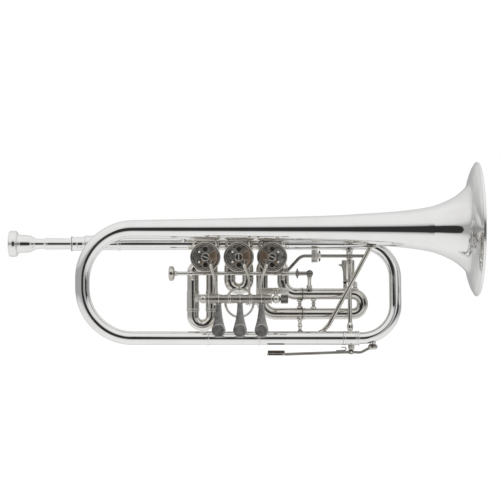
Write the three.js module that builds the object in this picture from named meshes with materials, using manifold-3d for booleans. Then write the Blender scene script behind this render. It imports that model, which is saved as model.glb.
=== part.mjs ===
import * as THREE from 'three';
import { mergeVertices } from 'three/addons/utils/BufferGeometryUtils.js';
import Module from 'manifold-3d';

const wasm = await Module();
wasm.setup();

// All lengths are millimetres: X to the right along the bell, Y away from the viewer, Z up
// Shared clearances and walls
const GAP = 0.3;
const SEAM = GAP / 2;
const WALL = 0.9;
const MIN_STEP = 0.02;
const MERGE_TOLERANCE = 0.0001;

// Facet counts and bend steps
const BELL_SIDES = 32;
const TUBE_SIDES = 12;
const VALVE_SIDES = 20;
const ROD_SIDES = 8;
const MOUTHPIECE_SIDES = 16;
const BEND_STEP_DEG = 22.5;
const CURVE_SEGMENTS = 4;

// Tube lines
const LINE_Z = 13.2;
const BELL_Y = -17;
const BELL_Z = 27.8;
const BOTTOM_Z = -81.1;
const MAIN_TUBE_R = 6.2;
const MAIN_BORE_R = 5;

// Bell: distance along the axis and outer radius
const BELL_OUTER = [
  [-105.6, 9.1], [-44.7, 10.2], [39.3, 12.2], [95.3, 13.8], [123.3, 15.4], [151.3, 17.2],
  [165.3, 18.5], [179.3, 20.3], [193.3, 22.9], [201.3, 25.6], [207.3, 28.1], [216.3, 32.9],
  [222.3, 37.5], [226.3, 41.4], [228.6, 45], [231.3, 55], [234.3, 62.8],
];
const BELL_BEAD = [
  [236.2, 65.9], [237.3, 67.2], [238.6, 67.2], [239.3, 66.5], [239.3, 65.3], [238.2, 64.6],
];

// Bell bow and bottom tube
const BOW_R = 50.5;
const BOW_TOP_X = -105.9;
const BOW_TOP_RADIUS = 9.1;
const BOW_LEFT_RADIUS = 7.25;
const BOTTOM_RADIUS = 6.95;
const BOTTOM_BORE_R = 5.9;
const BOW_END_X = -32;
const BOTTOM_RING_R = 7.5;
const BOTTOM_RING_LENGTH = 1.8;
const BOTTOM_RING_X = 19.2;
const LOWER_SLEEVE_X = 21.3;
const LOWER_SLEEVE_END_X = 104.3;
const LOWER_SLEEVE_BORE_R = 6.35;

// Main tuning slide
const BOW_LEG_R = 6.05;
const BOW_LEG_BORE_R = 5;
const TUNING_BOW_R = 34.4;
const TUNING_BOW_X = 157.2;
const TUNING_LEG_X = 68;
const UPPER_SLEEVE_END_X = 104.7;
const UPPER_SLEEVE_STEP_X = 60;
const UPPER_SLEEVE_BORE_R = 5.8;
const UPPER_LEG_R = 5.5;
const LOWER_FERRULE_R = 6.95;
const LOWER_FERRULE_END_X = 120.6;
const LOWER_FERRULE_RING_R = 7.6;
const LOWER_FERRULE_RING_LENGTH = 1.6;
const TUNING_NIPPLE_Y = -16.7;
const TUNING_NIPPLE_Z = -80;
const TUNING_NIPPLE_END_Z = -87.2;
const TUNING_NIPPLE_R = 3.1;
const TUNING_NIPPLE_BORE_R = 1.6;
const TUNING_BRACE_X = 111.5;
const TUNING_BRACE_R = 2.2;
const TUNING_BRACE_FOOT_R = 3.2;
const TUNING_BRACE_FOOT_SHARE = 0.16;
const TUNING_BRACE_NECK_SHARE = 0.22;
const TUNING_BRACE_COLLAR_SHARES = [0.86, 0.9];

// Leadpipe, and the receiver with its distances from the leadpipe's end
const LEADPIPE_X = -144.5;
const LEADPIPE_RING_X = -122;
const LEADPIPE_RING_LENGTH = 2.7;
const LEADPIPE_RING_R = 7;
const RECEIVER_OUTER = [
  [-24.9, 7.1], [-24.4, 7.5], [-23.2, 7.5], [-22.7, 6.9], [-12.7, 6.9], [-11.1, 7.6],
  [-9.7, 8.6], [-1.3, 8.6], [-0.3, 7.4],
];
const RECEIVER_BORE_NEAR_R = 5.65;
const RECEIVER_BORE_FAR_R = 5.15;

// Mouthpiece, from the leadpipe's end too: outside from rim to shank end, then the bore back to the cup
const MOUTHPIECE_OUTER = [
  [-86.7, 8.5], [-87.3, 9.6], [-87.1, 11.4], [-85.9, 12.8], [-84.3, 13.2], [-80.5, 13.2],
  [-78.8, 12.2], [-78.1, 9.4], [-76.5, 9.4], [-75.1, 8.9], [-68.5, 8.8], [-62.3, 8.2],
  [-58.9, 6.4], [-54.5, 5.2], [-50.9, 5], [-50.1, 6.1], [-48.8, 6.1], [-48.2, 5.8],
  [-25.2, 5.65], [-24.7, 5.3], [-1.5, 4.8],
];
const MOUTHPIECE_BORE = [
  [-1.5, 4.3], [-35.5, 3.1], [-60.5, 1.9], [-68.5, 1.85], [-71.5, 3.2], [-76, 6], [-81.5, 7.8],
];

// Valves
const VALVE_PITCH = 33.4;
const STUB_HALF = VALVE_PITCH / 2 - SEAM;
const CASING_R = 14;
const CASING_HALF_DEPTH = 15;
const CASING_WALL_BACK_Y = -8;
const CASING_BORE_R = 12.1;
const PORT_BEND_R = 7;
const PORT_START_SHARE = 0.4;
const PORT_BORE_R = 4.9;
const ROTOR_R = 11.8;
const ROTOR_HALF_DEPTH = 7.4;
const PASSAGE_R = 4.9;
const PASSAGE_END_X = 13.5;
const PASSAGE_END_Z = 9.2;
const PASSAGE_MIDDLE_Z = 5.6;
const PASSAGE_BEND_R = 28;
const SPINDLE_R = 2.5;
const SPINDLE_FRONT_Y = -20;
const SPINDLE_BACK_Y = 13;
const BEARING_FRONT_Y = 8;
const BEARING_BACK_Y = 11;
const BEARING_R = CASING_BORE_R - GAP;
const CAP_R = 14.6;
const CAP_BACK_Y = 19;
const CAP_CHAMFER = 1;

// Valve front plates, stop arms
const DISH_R = 15.2;
const DISH_INNER_R = 12.8;
const DISH_FLOOR_Y = -17;
const DISH_RIM_Y = -19.6;
const DISH_HOLE_R = 2.5;
const DISH_HOLE_AT = 7.5;
const BUMPER_R = 1.3;
const BUMPER_AT = 8;
const BUMPER_DEG = 140;
const BUMPER_FRONT_Y = -19.1;
const STOP_BACK_Y = -17.4;
const STOP_FRONT_Y = -19.1;
const STOP_HUB_R = 4.6;
const STOP_FAN_R = 12.1;
const STOP_FAN_FROM_DEG = -60;
const STOP_FAN_TO_DEG = 38;
const STOP_FINGER_DEG = -122;
const STOP_FINGER_HALF = 0.8;
const STOP_FINGER_REACH = 9.3;
const STOP_PIN_AT = 7;
const STOP_PIN_DEG = -45;
const STOP_PIN_R = 0.8;
const STOP_PIN_FRONT_Y = -23.2;

// First slide
const FIRST_LEFT = -12.8;
const FIRST_RIGHT = 6.3;
const SLIDE_TUBE_R = 5.9;
const SLIDE_LEG_R = 5.1;
const SLIDE_LEG_BORE_R = 4.4;
const SLIDE_BORE_R = 5.4;
const FIRST_FERRULE_Z = -34.4;
const FIRST_FERRULE_R = 6.3;
const FIRST_SLEEVE_END_Z = -53.6;
const FIRST_LEG_TOP_Z = -37;
const FIRST_BOW_BOTTOM_Z = -68.9;
const FIRST_SLEEVE_STEP_Z = -35;

// Second slide and its pull ring
const SECOND_HALF = 9.1;
const SECOND_TUBE_R = 5.7;
const SECOND_STUB_END_Z = -21;
const SECOND_LEG_TOP_Z = -13.4;
const SECOND_LEG_R = 4.6;
const SECOND_LEG_BORE_R = 3.9;
const SECOND_BOW_BOTTOM_Z = -32.4;
const RING_X = 0.7;
const RING_Y = -7.3;
const RING_Z = -46.3;
const RING_R = 14.05;
const RING_WIRE_R = 1.25;
const RING_STEM_R = 1.5;
const RING_STEM_Z = -31;

// Third slide
const THIRD_STUB_END_Z = -17;
const THIRD_LEFT = -10;
const THIRD_RIGHT = 11.2;
const THIRD_UPPER_Z = -37.3;
const THIRD_LOWER_Z = -57.3;
const THIRD_UPPER_BEND_R = 13;
const THIRD_LOWER_BEND_R = 14;
const THIRD_KNUCKLE_END_X = 64.8;
const THIRD_INNER_R = 4.8;
const THIRD_INNER_BORE_R = 4.2;
const THIRD_INNER_END_X = 103;
const THIRD_SLIDE_R = 5.6;
const THIRD_SLIDE_BORE_R = 5.12;
const THIRD_BOW_X = 124.8;
const THIRD_BOW_BORE_R = 4.5;
const THIRD_BRACE_X = 61.5;
const THIRD_BRACE_R = 1.7;
const THIRD_MOVING_BRACE_X = 75.4;
const THIRD_STAY_BEAD_R = 2.3;
const THIRD_STAY_BEAD_SHARES = [0.42, 0.5, 0.58];
const THIRD_NIPPLE_X = 117.3;
const THIRD_NIPPLE_TOP_Z = -29.8;
const THIRD_NIPPLE_R = 2.4;
const THIRD_NIPPLE_BORE_R = 1.2;
const THIRD_NIPPLE_FOOT_Z = -38;

// Third slide push rod with knob, collar, ball and post
const PUSH_Y = -13;
const PUSH_Z = -16.5;
const PUSH_R = 1.85;
const PUSH_KNOB_X = -70.4;
const PUSH_KNOB_BACK_X = -64.4;
const PUSH_KNOB_R = 7.5;
const PUSH_KNOB_EDGE = 1.2;
const PUSH_COLLAR_X = 57.9;
const PUSH_COLLAR_END_X = 59.4;
const PUSH_COLLAR_R = 4.75;
const PUSH_END_X = 71;
const PUSH_BALL_R = 3.5;
const PUSH_POST_R = 2.4;
const GUIDE_BORE_R = 2.15;
const GUIDE_R = 3.3;
const GUIDE_HALF = 1.25;
const GUIDE_ARM_R = 1.4;
const GUIDE_ARM_DROP = 5.1;
const FIRST_GUIDE_X = -47.75;

// Lever axle, spring drums and brackets
const AXLE_Y = -42.4;
const AXLE_Z = -41.3;
const AXLE_R = 1.5;
const AXLE_START_X = -38.6;
const THUMB_X = 41.5;
const THUMB_END_X = 49;
const THUMB_R = 4.45;
const DRUM_R = 4.6;
const DRUM_INNER_R = 3.9;
const DRUM_CHEEK = 1.1;
const DRUM_HALF = 10.4;
const DRUM_XS = [-19.6, 1.5, 22.6];
const BRACKET_BALL_R = 4.3;
const LEFT_BALL_X = -34.7;
const RIGHT_BALL_X = 37.25;
const BRACKET_ARM_R = 1.9;
const BRACKET_PLATE = 1.3;
const LEFT_PLATE_X = [-44, -29];
const LEFT_PLATE_Z = [-45, -37.6];
const RIGHT_PLATE_X = [19, 50.5];
const RIGHT_PLATE_Z = [-37.6, -31];
const SPRING_INNER_R = 1.95;
const SPRING_OUTER_R = 3.4;
const SPRING_THICK = 0.32;
const SPRING_TURNS = 2.25;
const SPRING_POINTS_PER_TURN = 12;

// Levers
const PADDLE_TILT_DEG = 9;
const PADDLE_THICK = 1.4;
const PADDLE_TOP = 4.15;
const PADDLE_TOP_HALF = 2.65;
const PADDLE_WAIST_HALF = 2.9;
const PADDLE_WAIST_DROP = 17;
const PADDLE_DISC_DROP = 30.9;
const PADDLE_DISC_R = 6.9;
const PADDLE_DISC_FROM_DEG = 24;
const PADDLE_DISC_RAISE = 0.6;
const PADDLE_DISC_FACE_R = 6.2;
const LEVER_ARM_R = 1.3;
const LEVER_PIN_R = 0.8;
const LEVER_PIN_Z = -46.3;
const LEVER_ARM_ROOT = 4.1;
const LEVER_ARM_ROOT_DROP = 1;
const LEVER_BOSS_R = 1.7;

// Links between the levers and the stop arms
const LINK_Y = -21.7;
const LINK_ROD_R = 1.2;
const LINK_EYE_R = 2.3;
const LINK_EYE_BORE_R = 1.2;
const LINK_EYE_HALF = 0.8;
const LINK_LOWER_XS = [-21, 10.9, 19.8];
const LINK_SLOT_HALF = 1.25;
const LINK_SLOT_IN = 1.25;
const LINK_SLOT_OUT = 3.3;
const LINK_RIM = 1.3;
const LINK_PLATE_HALF = 0.8;
const LINK_ROOT = 1.7;

// Front braces
const DIAGONAL_R = 2.1;
const DIAGONAL_TOP_X = 131.8;
const DIAGONAL_TOP_Z = 10;
const DIAGONAL_KNEE_X = 90.2;
const DIAGONAL_KNEE_Z = -68;
const DIAGONAL_END_X = 81.2;
const DIAGONAL_END_Z = -77;
const DIAGONAL_BEND_R = 12;
const DIAGONAL_PLATE_LEFT = 4.2;
const DIAGONAL_PLATE_RIGHT = 5.6;
const DIAGONAL_PLATE_X = [DIAGONAL_TOP_X - DIAGONAL_PLATE_LEFT, DIAGONAL_TOP_X + DIAGONAL_PLATE_RIGHT];
const DIAGONAL_PLATE_Z = [9.3, 12.6];
const DIAGONAL_PLATE_HALF = 4;
const DIAGONAL_FOOT_R = 3.4;
const DIAGONAL_FOOT_DROP = 5;
const CROSS_R = 1.6;
const CROSS_START_REACH = 1.4;
const CROSS_START = [VALVE_PITCH + THIRD_RIGHT + CROSS_START_REACH, -1, -13];
const CROSS_KNEE = [56, -5, -12];
const CROSS_CORNER = [64, -7, 1];
const CROSS_LINE_Y = -7;
const CROSS_LINE_Z = 1;
const CROSS_BEND_R = 7;
const CROSS_TURN_X = 87;
const CROSS_TURN_BEND_R = 20;
const CROSS_END_X = DIAGONAL_TOP_X - ((DIAGONAL_TOP_Z - CROSS_LINE_Z) * (DIAGONAL_TOP_X - DIAGONAL_KNEE_X))
  / (DIAGONAL_TOP_Z - DIAGONAL_KNEE_Z);
const CROSS_BLOCK_X = [73.2, 79.1];
const CROSS_BLOCK_Y = [-11, -3.5];
const CROSS_BLOCK_Z = [-5.5, 7.7];
const CROSS_SOCKET = 1.4;
const CROSS_SOCKET_TOP_Z = -2;
const WING_X = [79.4, 82.6];
const WING_BORE_R = 1.9;
const WING_HUB_R = 3.4;
const WING_REACH = 5.8;
const WING_HALF = 0.8;
const BELL_STAY_X = -55.5;
const BELL_STAY_R = 2.4;
const BELL_STAY_WAIST_R = 1.6;
const BELL_STAY_WAIST_SHARES = [0.36, 0.42, 0.48];
const BELL_STAY_TOOL_END_X = 20;
const DIAGONAL_TOOL_X = [90, 170];

// Main water key
const KEY_Y = -17;
const KEY_PIVOT_X = 112.5;
const KEY_PIVOT_Z = -95;
const KEY_CUP_REACH = 21.5;
const TUNING_NIPPLE_X = KEY_PIVOT_X + KEY_CUP_REACH;
const KEY_BLOCK_SIDE = 3.2;
const KEY_BLOCK_X = [KEY_PIVOT_X - KEY_BLOCK_SIDE, KEY_PIVOT_X + KEY_BLOCK_SIDE];
const KEY_BLOCK_Z = [-93, -84];
const KEY_BLOCK_HALF = 2;
const KEY_LUG = 1.4;
const KEY_BARREL_R = 2.2;
const KEY_PIN_R = 0.9;
const KEY_PIN_REACH = 4.6;
const KEY_ROD_R = 1.5;
const KEY_PLATE_X = [28.3, 46.8];
const KEY_PLATE_Z = [-98.4, -96.2];
const KEY_PLATE_HALF = 4.2;
const KEY_CORK_TOP_Z = -93.6;
const KEY_CORK_INSET = 0.8;
const KEY_ARM_DIP_REACH = 9.5;
const KEY_ARM_DIP_X = KEY_PIVOT_X + KEY_ARM_DIP_REACH;
const KEY_ARM_DIP_Z = -95.5;
const KEY_ARM_BEND_R = 6;
const KEY_CUP_R = 4.9;
const KEY_CUP_TOP_Z = -88.4;
const KEY_CUP_FLOOR_Z = -89.9;
const KEY_CUP_BOTTOM_Z = -92.4;
const KEY_PAD_R = 4;
const KEY_SPRING_R = 0.5;
const KEY_SPRING_BEND_R = 1.4;
const KEY_SPRING_PATH = [[96, -93.3], [106, -92.8], [106, -89.8], [101, -89.8]];
const KEY_ARM_R = 1.3;
const KEY_ARM_END_Z = -91.3;

// Third slide water key
const SMALL_KEY_X = 107.2;
const SMALL_KEY_Z = -25.3;
const SMALL_KEY_Y = [1, 3];
const SMALL_KEY_BARREL_R = 2.1;
const SMALL_KEY_BORE_R = 1.1;
const SMALL_KEY_LUG_X = [105.4, 109];
const SMALL_KEY_LUG_Y = [-1.6, 0.7];
const SMALL_KEY_LUG_Z = [-34, -23.6];
const SMALL_KEY_PIN_R = 0.8;
const SMALL_KEY_PIN_END_Y = 3.4;
const SMALL_KEY_CUP_Y = 0.6;
const SMALL_KEY_CUP_R = 2.6;
const SMALL_KEY_CUP_DEEP = 2.4;
const SMALL_KEY_OUTLINE = [
  [105.5, -26], [105.2, -15.2], [103.9, -10], [100.8, -8.6], [100.8, -7], [103.9, -7.4],
  [104.2, -3.1], [109.2, -3.3], [109, -14.8], [108.9, -22.8], [112.8, -21.8], [114.4, -14.7],
  [114.3, -3], [116.8, -3.1], [116.9, -14.7], [115.9, -23.4], [119.4, -25.4], [119.4, -29.5],
  [115.2, -29.5], [114.6, -26.4], [109.8, -25.6], [108.2, -27],
];

// Surface looks: colour, roughness, metalness
const LOOKS = {
  silver: { color: 0xdcdee0, roughness: 0.1, metalness: 1 },
  satin_silver: { color: 0x9a9b9a, roughness: 0.34, metalness: 1 },
  rotor_brass: { color: 0xb9a06a, roughness: 0.3, metalness: 1 },
  spring_steel: { color: 0x8d9196, roughness: 0.3, metalness: 1 },
  dark_steel: { color: 0x4c4a48, roughness: 0.38, metalness: 1 },
  cork: { color: 0x5a4a38, roughness: 0.85, metalness: 0 },
};

const at = (x, y, z) => new THREE.Vector3(x, y, z);
const rad = THREE.MathUtils.degToRad;
const ALONG_X = at(1, 0, 0);
const ALONG_Y = at(0, 1, 0);
const ALONG_Z = at(0, 0, 1);

// A path of straight runs and true arcs, with a frame that doesn't twist
function route(corners, bends) {
  const runs = [];
  const marks = [];
  let start = corners[0].clone();
  let travelled = 0;
  const first = corners[1].clone().sub(start).normalize();
  const guide = Math.abs(first.y) < Math.cos(rad(30)) ? ALONG_Y : ALONG_Z;
  let normal = guide.clone().addScaledVector(first, -guide.dot(first)).normalize();
  for (let i = 1; i < corners.length; i += 1) {
    const inward = corners[i].clone().sub(corners[i - 1]).normalize();
    const last = i === corners.length - 1;
    const outward = last ? inward : corners[i + 1].clone().sub(corners[i]).normalize();
    const turn = last ? 0 : inward.angleTo(outward);
    const radius = last ? 0 : bends[i - 1];
    const reach = radius * Math.tan(turn / 2);
    const end = corners[i].clone().addScaledVector(inward, -reach);
    const length = end.distanceTo(start);
    runs.push({ from: travelled, length, start: start.clone(), tangent: inward, normal: normal.clone() });
    travelled += length;
    marks.push(travelled);
    if (!last) {
      const axis = inward.clone().cross(outward).normalize();
      const centre = end.clone().addScaledVector(axis.clone().cross(inward), radius);
      const steps = Math.max(2, Math.round(turn / rad(BEND_STEP_DEG)));
      runs.push({
        from: travelled, length: radius * turn, start: end.clone(), tangent: inward,
        normal: normal.clone(), axis, centre, radius,
      });
      for (let k = 1; k <= steps; k += 1) {
        marks.push(travelled + (radius * turn * k) / steps);
      }
      travelled += radius * turn;
      normal = normal.clone().applyAxisAngle(axis, turn);
      start = corners[i].clone().addScaledVector(outward, reach);
    }
  }
  const locate = (s) => {
    let run = runs[0];
    for (const next of runs) {
      if (s >= next.from) {
        run = next;
      }
    }
    const along = s - run.from;
    if (!run.axis) {
      return {
        point: run.start.clone().addScaledVector(run.tangent, along),
        tangent: run.tangent, normal: run.normal,
      };
    }
    const angle = along / run.radius;
    const spoke = run.start.clone().sub(run.centre).applyAxisAngle(run.axis, angle);
    return {
      point: run.centre.clone().add(spoke),
      tangent: run.tangent.clone().applyAxisAngle(run.axis, angle),
      normal: run.normal.clone().applyAxisAngle(run.axis, angle),
    };
  };
  const kept = marks.filter((mark, i) => i === 0 || mark - marks[i - 1] > MIN_STEP);
  return { marks: kept, length: travelled, locate };
}

function toSolid(geometry) {
  const bare = geometry.clone();
  bare.deleteAttribute('normal');
  bare.deleteAttribute('uv');
  const merged = mergeVertices(bare, MERGE_TOLERANCE);
  return new wasm.Manifold(new wasm.Mesh({
    numProp: 3,
    vertProperties: new Float32Array(merged.attributes.position.array),
    triVerts: new Uint32Array(merged.index.array),
  }));
}

function toGeometry(solid) {
  const mesh = solid.getMesh();
  const geometry = new THREE.BufferGeometry();
  geometry.setAttribute('position', new THREE.BufferAttribute(new Float32Array(mesh.vertProperties), 3));
  geometry.setIndex(new THREE.BufferAttribute(new Uint32Array(mesh.triVerts), 1));
  geometry.computeVertexNormals();
  return geometry;
}

const join = (...solids) => solids.reduce((whole, next) => whole.add(next));
const cut = (body, ...tools) => tools.reduce((whole, tool) => whole.subtract(tool), body);

// A closed loop of (distance, radius) pairs carried round the path
function sweep(path, loop, sides) {
  const rings = [];
  loop.forEach(([s, r], i) => {
    const [sNext, rNext] = loop[(i + 1) % loop.length];
    rings.push([s, r]);
    if (r === 0 && rNext === 0) {
      return;
    }
    const low = Math.min(s, sNext) + MIN_STEP;
    const high = Math.max(s, sNext) - MIN_STEP;
    const between = path.marks.filter((mark) => mark > low && mark < high);
    if (sNext < s) {
      between.reverse();
    }
    for (const mark of between) {
      rings.push([mark, r + ((rNext - r) * (mark - s)) / (sNext - s)]);
    }
  });
  const positions = [];
  const starts = [];
  for (const [s, r] of rings) {
    const { point, tangent, normal } = path.locate(s);
    const side = tangent.clone().cross(normal);
    starts.push(positions.length / 3);
    const count = r === 0 ? 1 : sides;
    for (let k = 0; k < count; k += 1) {
      const angle = (2 * Math.PI * k) / sides;
      const place = point.clone()
        .addScaledVector(normal, r * Math.cos(angle))
        .addScaledVector(side, r * Math.sin(angle));
      positions.push(place.x, place.y, place.z);
    }
  }
  const index = [];
  rings.forEach(([, r], i) => {
    const j = (i + 1) % rings.length;
    const rNext = rings[j][1];
    for (let k = 0; k < sides; k += 1) {
      const next = (k + 1) % sides;
      const a = starts[i] + k;
      const b = starts[i] + next;
      const c = starts[j] + k;
      const d = starts[j] + next;
      if (r > 0 && rNext > 0) {
        index.push(a, b, c, b, d, c);
      } else if (r > 0) {
        index.push(a, b, starts[j]);
      } else if (rNext > 0) {
        index.push(starts[i], d, c);
      }
    }
  });
  let volume = 0;
  const corner = (k) => at(positions[3 * k], positions[3 * k + 1], positions[3 * k + 2]);
  for (let k = 0; k < index.length; k += 3) {
    volume += corner(index[k]).dot(corner(index[k + 1]).cross(corner(index[k + 2])));
  }
  if (volume < 0) {
    index.reverse();
  }
  const geometry = new THREE.BufferGeometry();
  geometry.setAttribute('position', new THREE.Float32BufferAttribute(positions, 3));
  geometry.setIndex(index);
  return toSolid(geometry);
}

const bar = (length, radius) => [[0, 0], [0, radius], [length, radius], [length, 0]];
const bentRod = (corners, bends, radius, sides = ROD_SIDES) => {
  const path = route(corners, bends);
  return sweep(path, bar(path.length, radius), sides);
};
const rod = (from, to, radius, sides = ROD_SIDES) => bentRod([from, to], [], radius, sides);
const turned = (origin, direction, loop, sides) => (
  sweep(route([origin, origin.clone().add(direction)], []), loop, sides)
);
const ring = (from, to, inner, outer) => [[from, inner], [from, outer], [to, outer], [to, inner]];

function ball(centre, radius, sides = ROD_SIDES) {
  const steps = Math.round(sides / 2);
  const loop = [];
  for (let k = 0; k <= steps; k += 1) {
    const angle = (Math.PI * k) / steps;
    const r = k === 0 || k === steps ? 0 : radius * Math.sin(angle);
    loop.push([-radius * Math.cos(angle), r]);
  }
  return turned(centre, ALONG_X, loop, sides);
}

function block(xs, ys, zs) {
  const geometry = new THREE.BoxGeometry(xs[1] - xs[0], ys[1] - ys[0], zs[1] - zs[0]);
  geometry.translate((xs[0] + xs[1]) / 2, (ys[0] + ys[1]) / 2, (zs[0] + zs[1]) / 2);
  return toSolid(geometry);
}

// A flat outline seen from the front, given in X and Z, between two depths in Y
function frontPlate(shape, frontY, backY) {
  const geometry = new THREE.ExtrudeGeometry(shape, {
    depth: backY - frontY, bevelEnabled: false, curveSegments: CURVE_SEGMENTS,
  });
  geometry.rotateX(Math.PI / 2);
  geometry.translate(0, backY, 0);
  return toSolid(geometry);
}

// A flat outline seen from the side, given in Y and Z, between two places in X
function sidePlate(shape, fromX, toX) {
  const geometry = new THREE.ExtrudeGeometry(shape, {
    depth: toX - fromX, bevelEnabled: false, curveSegments: CURVE_SEGMENTS,
  });
  geometry.applyMatrix4(new THREE.Matrix4().makeBasis(ALONG_Y, ALONG_Z, ALONG_X));
  geometry.translate(fromX, 0, 0);
  return toSolid(geometry);
}

const outline = (points) => new THREE.Shape(points.map(([x, y]) => new THREE.Vector2(x, y)));

function piece(name, solid, look = 'silver') {
  const mesh = new THREE.Mesh(toGeometry(solid), new THREE.MeshStandardMaterial(LOOKS[look]));
  mesh.name = name;
  return mesh;
}

function offsetInward(points, distance) {
  return points.map((point, i) => {
    const before = points[Math.max(0, i - 1)];
    const after = points[Math.min(points.length - 1, i + 1)];
    const along = after[0] - before[0];
    const rise = after[1] - before[1];
    const size = Math.hypot(along, rise);
    return [point[0] + (distance * rise) / size, point[1] - (distance * along) / size];
  });
}

// Bell and bell bow
function bellPieces() {
  const inner = offsetInward(BELL_OUTER, WALL).reverse();
  inner[inner.length - 1][0] = BELL_OUTER[0][0];
  const bell = turned(at(0, BELL_Y, BELL_Z), ALONG_X, [...BELL_OUTER, ...BELL_BEAD, ...inner], BELL_SIDES);
  const path = route([
    at(BOW_TOP_X, BELL_Y, BELL_Z),
    at(BOW_TOP_X - BOW_R, BELL_Y, BELL_Z),
    at(BOW_TOP_X - BOW_R, BELL_Y, BOTTOM_Z),
    at(BOW_END_X, BELL_Y, BOTTOM_Z),
  ], [BOW_R, BOW_R]);
  const quarter = (BOW_R * Math.PI) / 2;
  const drop = BELL_Z - BOTTOM_Z - 2 * BOW_R;
  const outer = [
    [0, BOW_TOP_RADIUS], [quarter, BOW_LEFT_RADIUS],
    [2 * quarter + drop, BOTTOM_RADIUS], [path.length, BOTTOM_RADIUS],
  ];
  const bore = outer.map(([s, r]) => [s, r - WALL]).reverse();
  const bow = sweep(path, [...outer, ...bore], TUBE_SIDES);
  return [piece('bell', bell), piece('bell_bow', bow)];
}

// Bottom tube and the lower sleeve of the tuning slide
function bottomPieces() {
  const start = BOW_END_X + GAP;
  const end = LOWER_SLEEVE_X - GAP;
  const tube = turned(at(0, BELL_Y, BOTTOM_Z), ALONG_X, [
    [start, BOTTOM_RING_R], [start + BOTTOM_RING_LENGTH, BOTTOM_RING_R],
    [start + BOTTOM_RING_LENGTH, BOTTOM_RADIUS], [BOTTOM_RING_X, BOTTOM_RADIUS],
    [BOTTOM_RING_X, BOTTOM_RING_R], [end, BOTTOM_RING_R],
    [end, BOTTOM_BORE_R], [start, BOTTOM_BORE_R],
  ], TUBE_SIDES);
  const sleeve = turned(
    at(0, BELL_Y, BOTTOM_Z), ALONG_X,
    ring(LOWER_SLEEVE_X, LOWER_SLEEVE_END_X, LOWER_SLEEVE_BORE_R, BOTTOM_RADIUS), TUBE_SIDES,
  );
  return [piece('bottom_tube', tube), piece('lower_tuning_sleeve', sleeve)];
}

// Leadpipe, receiver, upper sleeve and mouthpiece
function linePieces() {
  const line = at(0, 0, LINE_Z);
  const portEnd = VALVE_PITCH + STUB_HALF + GAP;
  const ringEnd = LEADPIPE_RING_X + LEADPIPE_RING_LENGTH;
  const leadpipe = turned(line, ALONG_X, [
    [LEADPIPE_X, MAIN_TUBE_R], [LEADPIPE_RING_X, MAIN_TUBE_R], [LEADPIPE_RING_X, LEADPIPE_RING_R],
    [ringEnd, LEADPIPE_RING_R], [ringEnd, MAIN_TUBE_R], [-portEnd, MAIN_TUBE_R],
    [-portEnd, MAIN_BORE_R], [LEADPIPE_X, MAIN_BORE_R],
  ], TUBE_SIDES);
  const pipeEnd = lineAtZ(LEADPIPE_X);
  const receiver = turned(pipeEnd, ALONG_X, [
    ...RECEIVER_OUTER,
    [RECEIVER_OUTER[RECEIVER_OUTER.length - 1][0], RECEIVER_BORE_FAR_R],
    [RECEIVER_OUTER[0][0], RECEIVER_BORE_NEAR_R],
  ], TUBE_SIDES);
  const upper = turned(line, ALONG_X, [
    [portEnd, MAIN_TUBE_R], [UPPER_SLEEVE_END_X, MAIN_TUBE_R],
    [UPPER_SLEEVE_END_X, UPPER_SLEEVE_BORE_R], [UPPER_SLEEVE_STEP_X, UPPER_SLEEVE_BORE_R],
    [UPPER_SLEEVE_STEP_X, MAIN_BORE_R], [portEnd, MAIN_BORE_R],
  ], TUBE_SIDES);
  const mouthpiece = turned(pipeEnd, ALONG_X, [...MOUTHPIECE_OUTER, ...MOUTHPIECE_BORE], MOUTHPIECE_SIDES);
  return [
    piece('leadpipe', leadpipe), piece('mouthpiece_receiver', receiver),
    piece('upper_tuning_sleeve', upper), piece('mouthpiece', mouthpiece),
  ];
}

// Path of a valve port: out of the rotor at 45 degrees, then straight down to a slide
const legPath = (x, endZ) => route([
  at(x * PORT_START_SHARE, 0, -Math.abs(x) * PORT_START_SHARE),
  at(x, 0, -Math.abs(x)),
  at(x, 0, endZ),
], [PORT_BEND_R]);
const wholePath = (path, radius, sides) => sweep(path, bar(path.length, radius), sides);

function guideParts(x, tubeX) {
  const centre = at(x, PUSH_Y, PUSH_Z);
  const eye = turned(centre, ALONG_X, span(-GUIDE_HALF, GUIDE_HALF, GUIDE_R), ROD_SIDES);
  const arm = rod(
    at(x, PUSH_Y + GUIDE_BORE_R, PUSH_Z - GUIDE_BORE_R / 2),
    at(tubeX, 0, PUSH_Z - GUIDE_ARM_DROP), GUIDE_ARM_R,
  );
  const bore = turned(centre, ALONG_X, span(-GUIDE_R, GUIDE_R, GUIDE_BORE_R), ROD_SIDES);
  return { outside: join(eye, arm), bore };
}

function span(from, to, radius) {
  return [[from, 0], [from, radius], [to, radius], [to, 0]];
}

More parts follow.
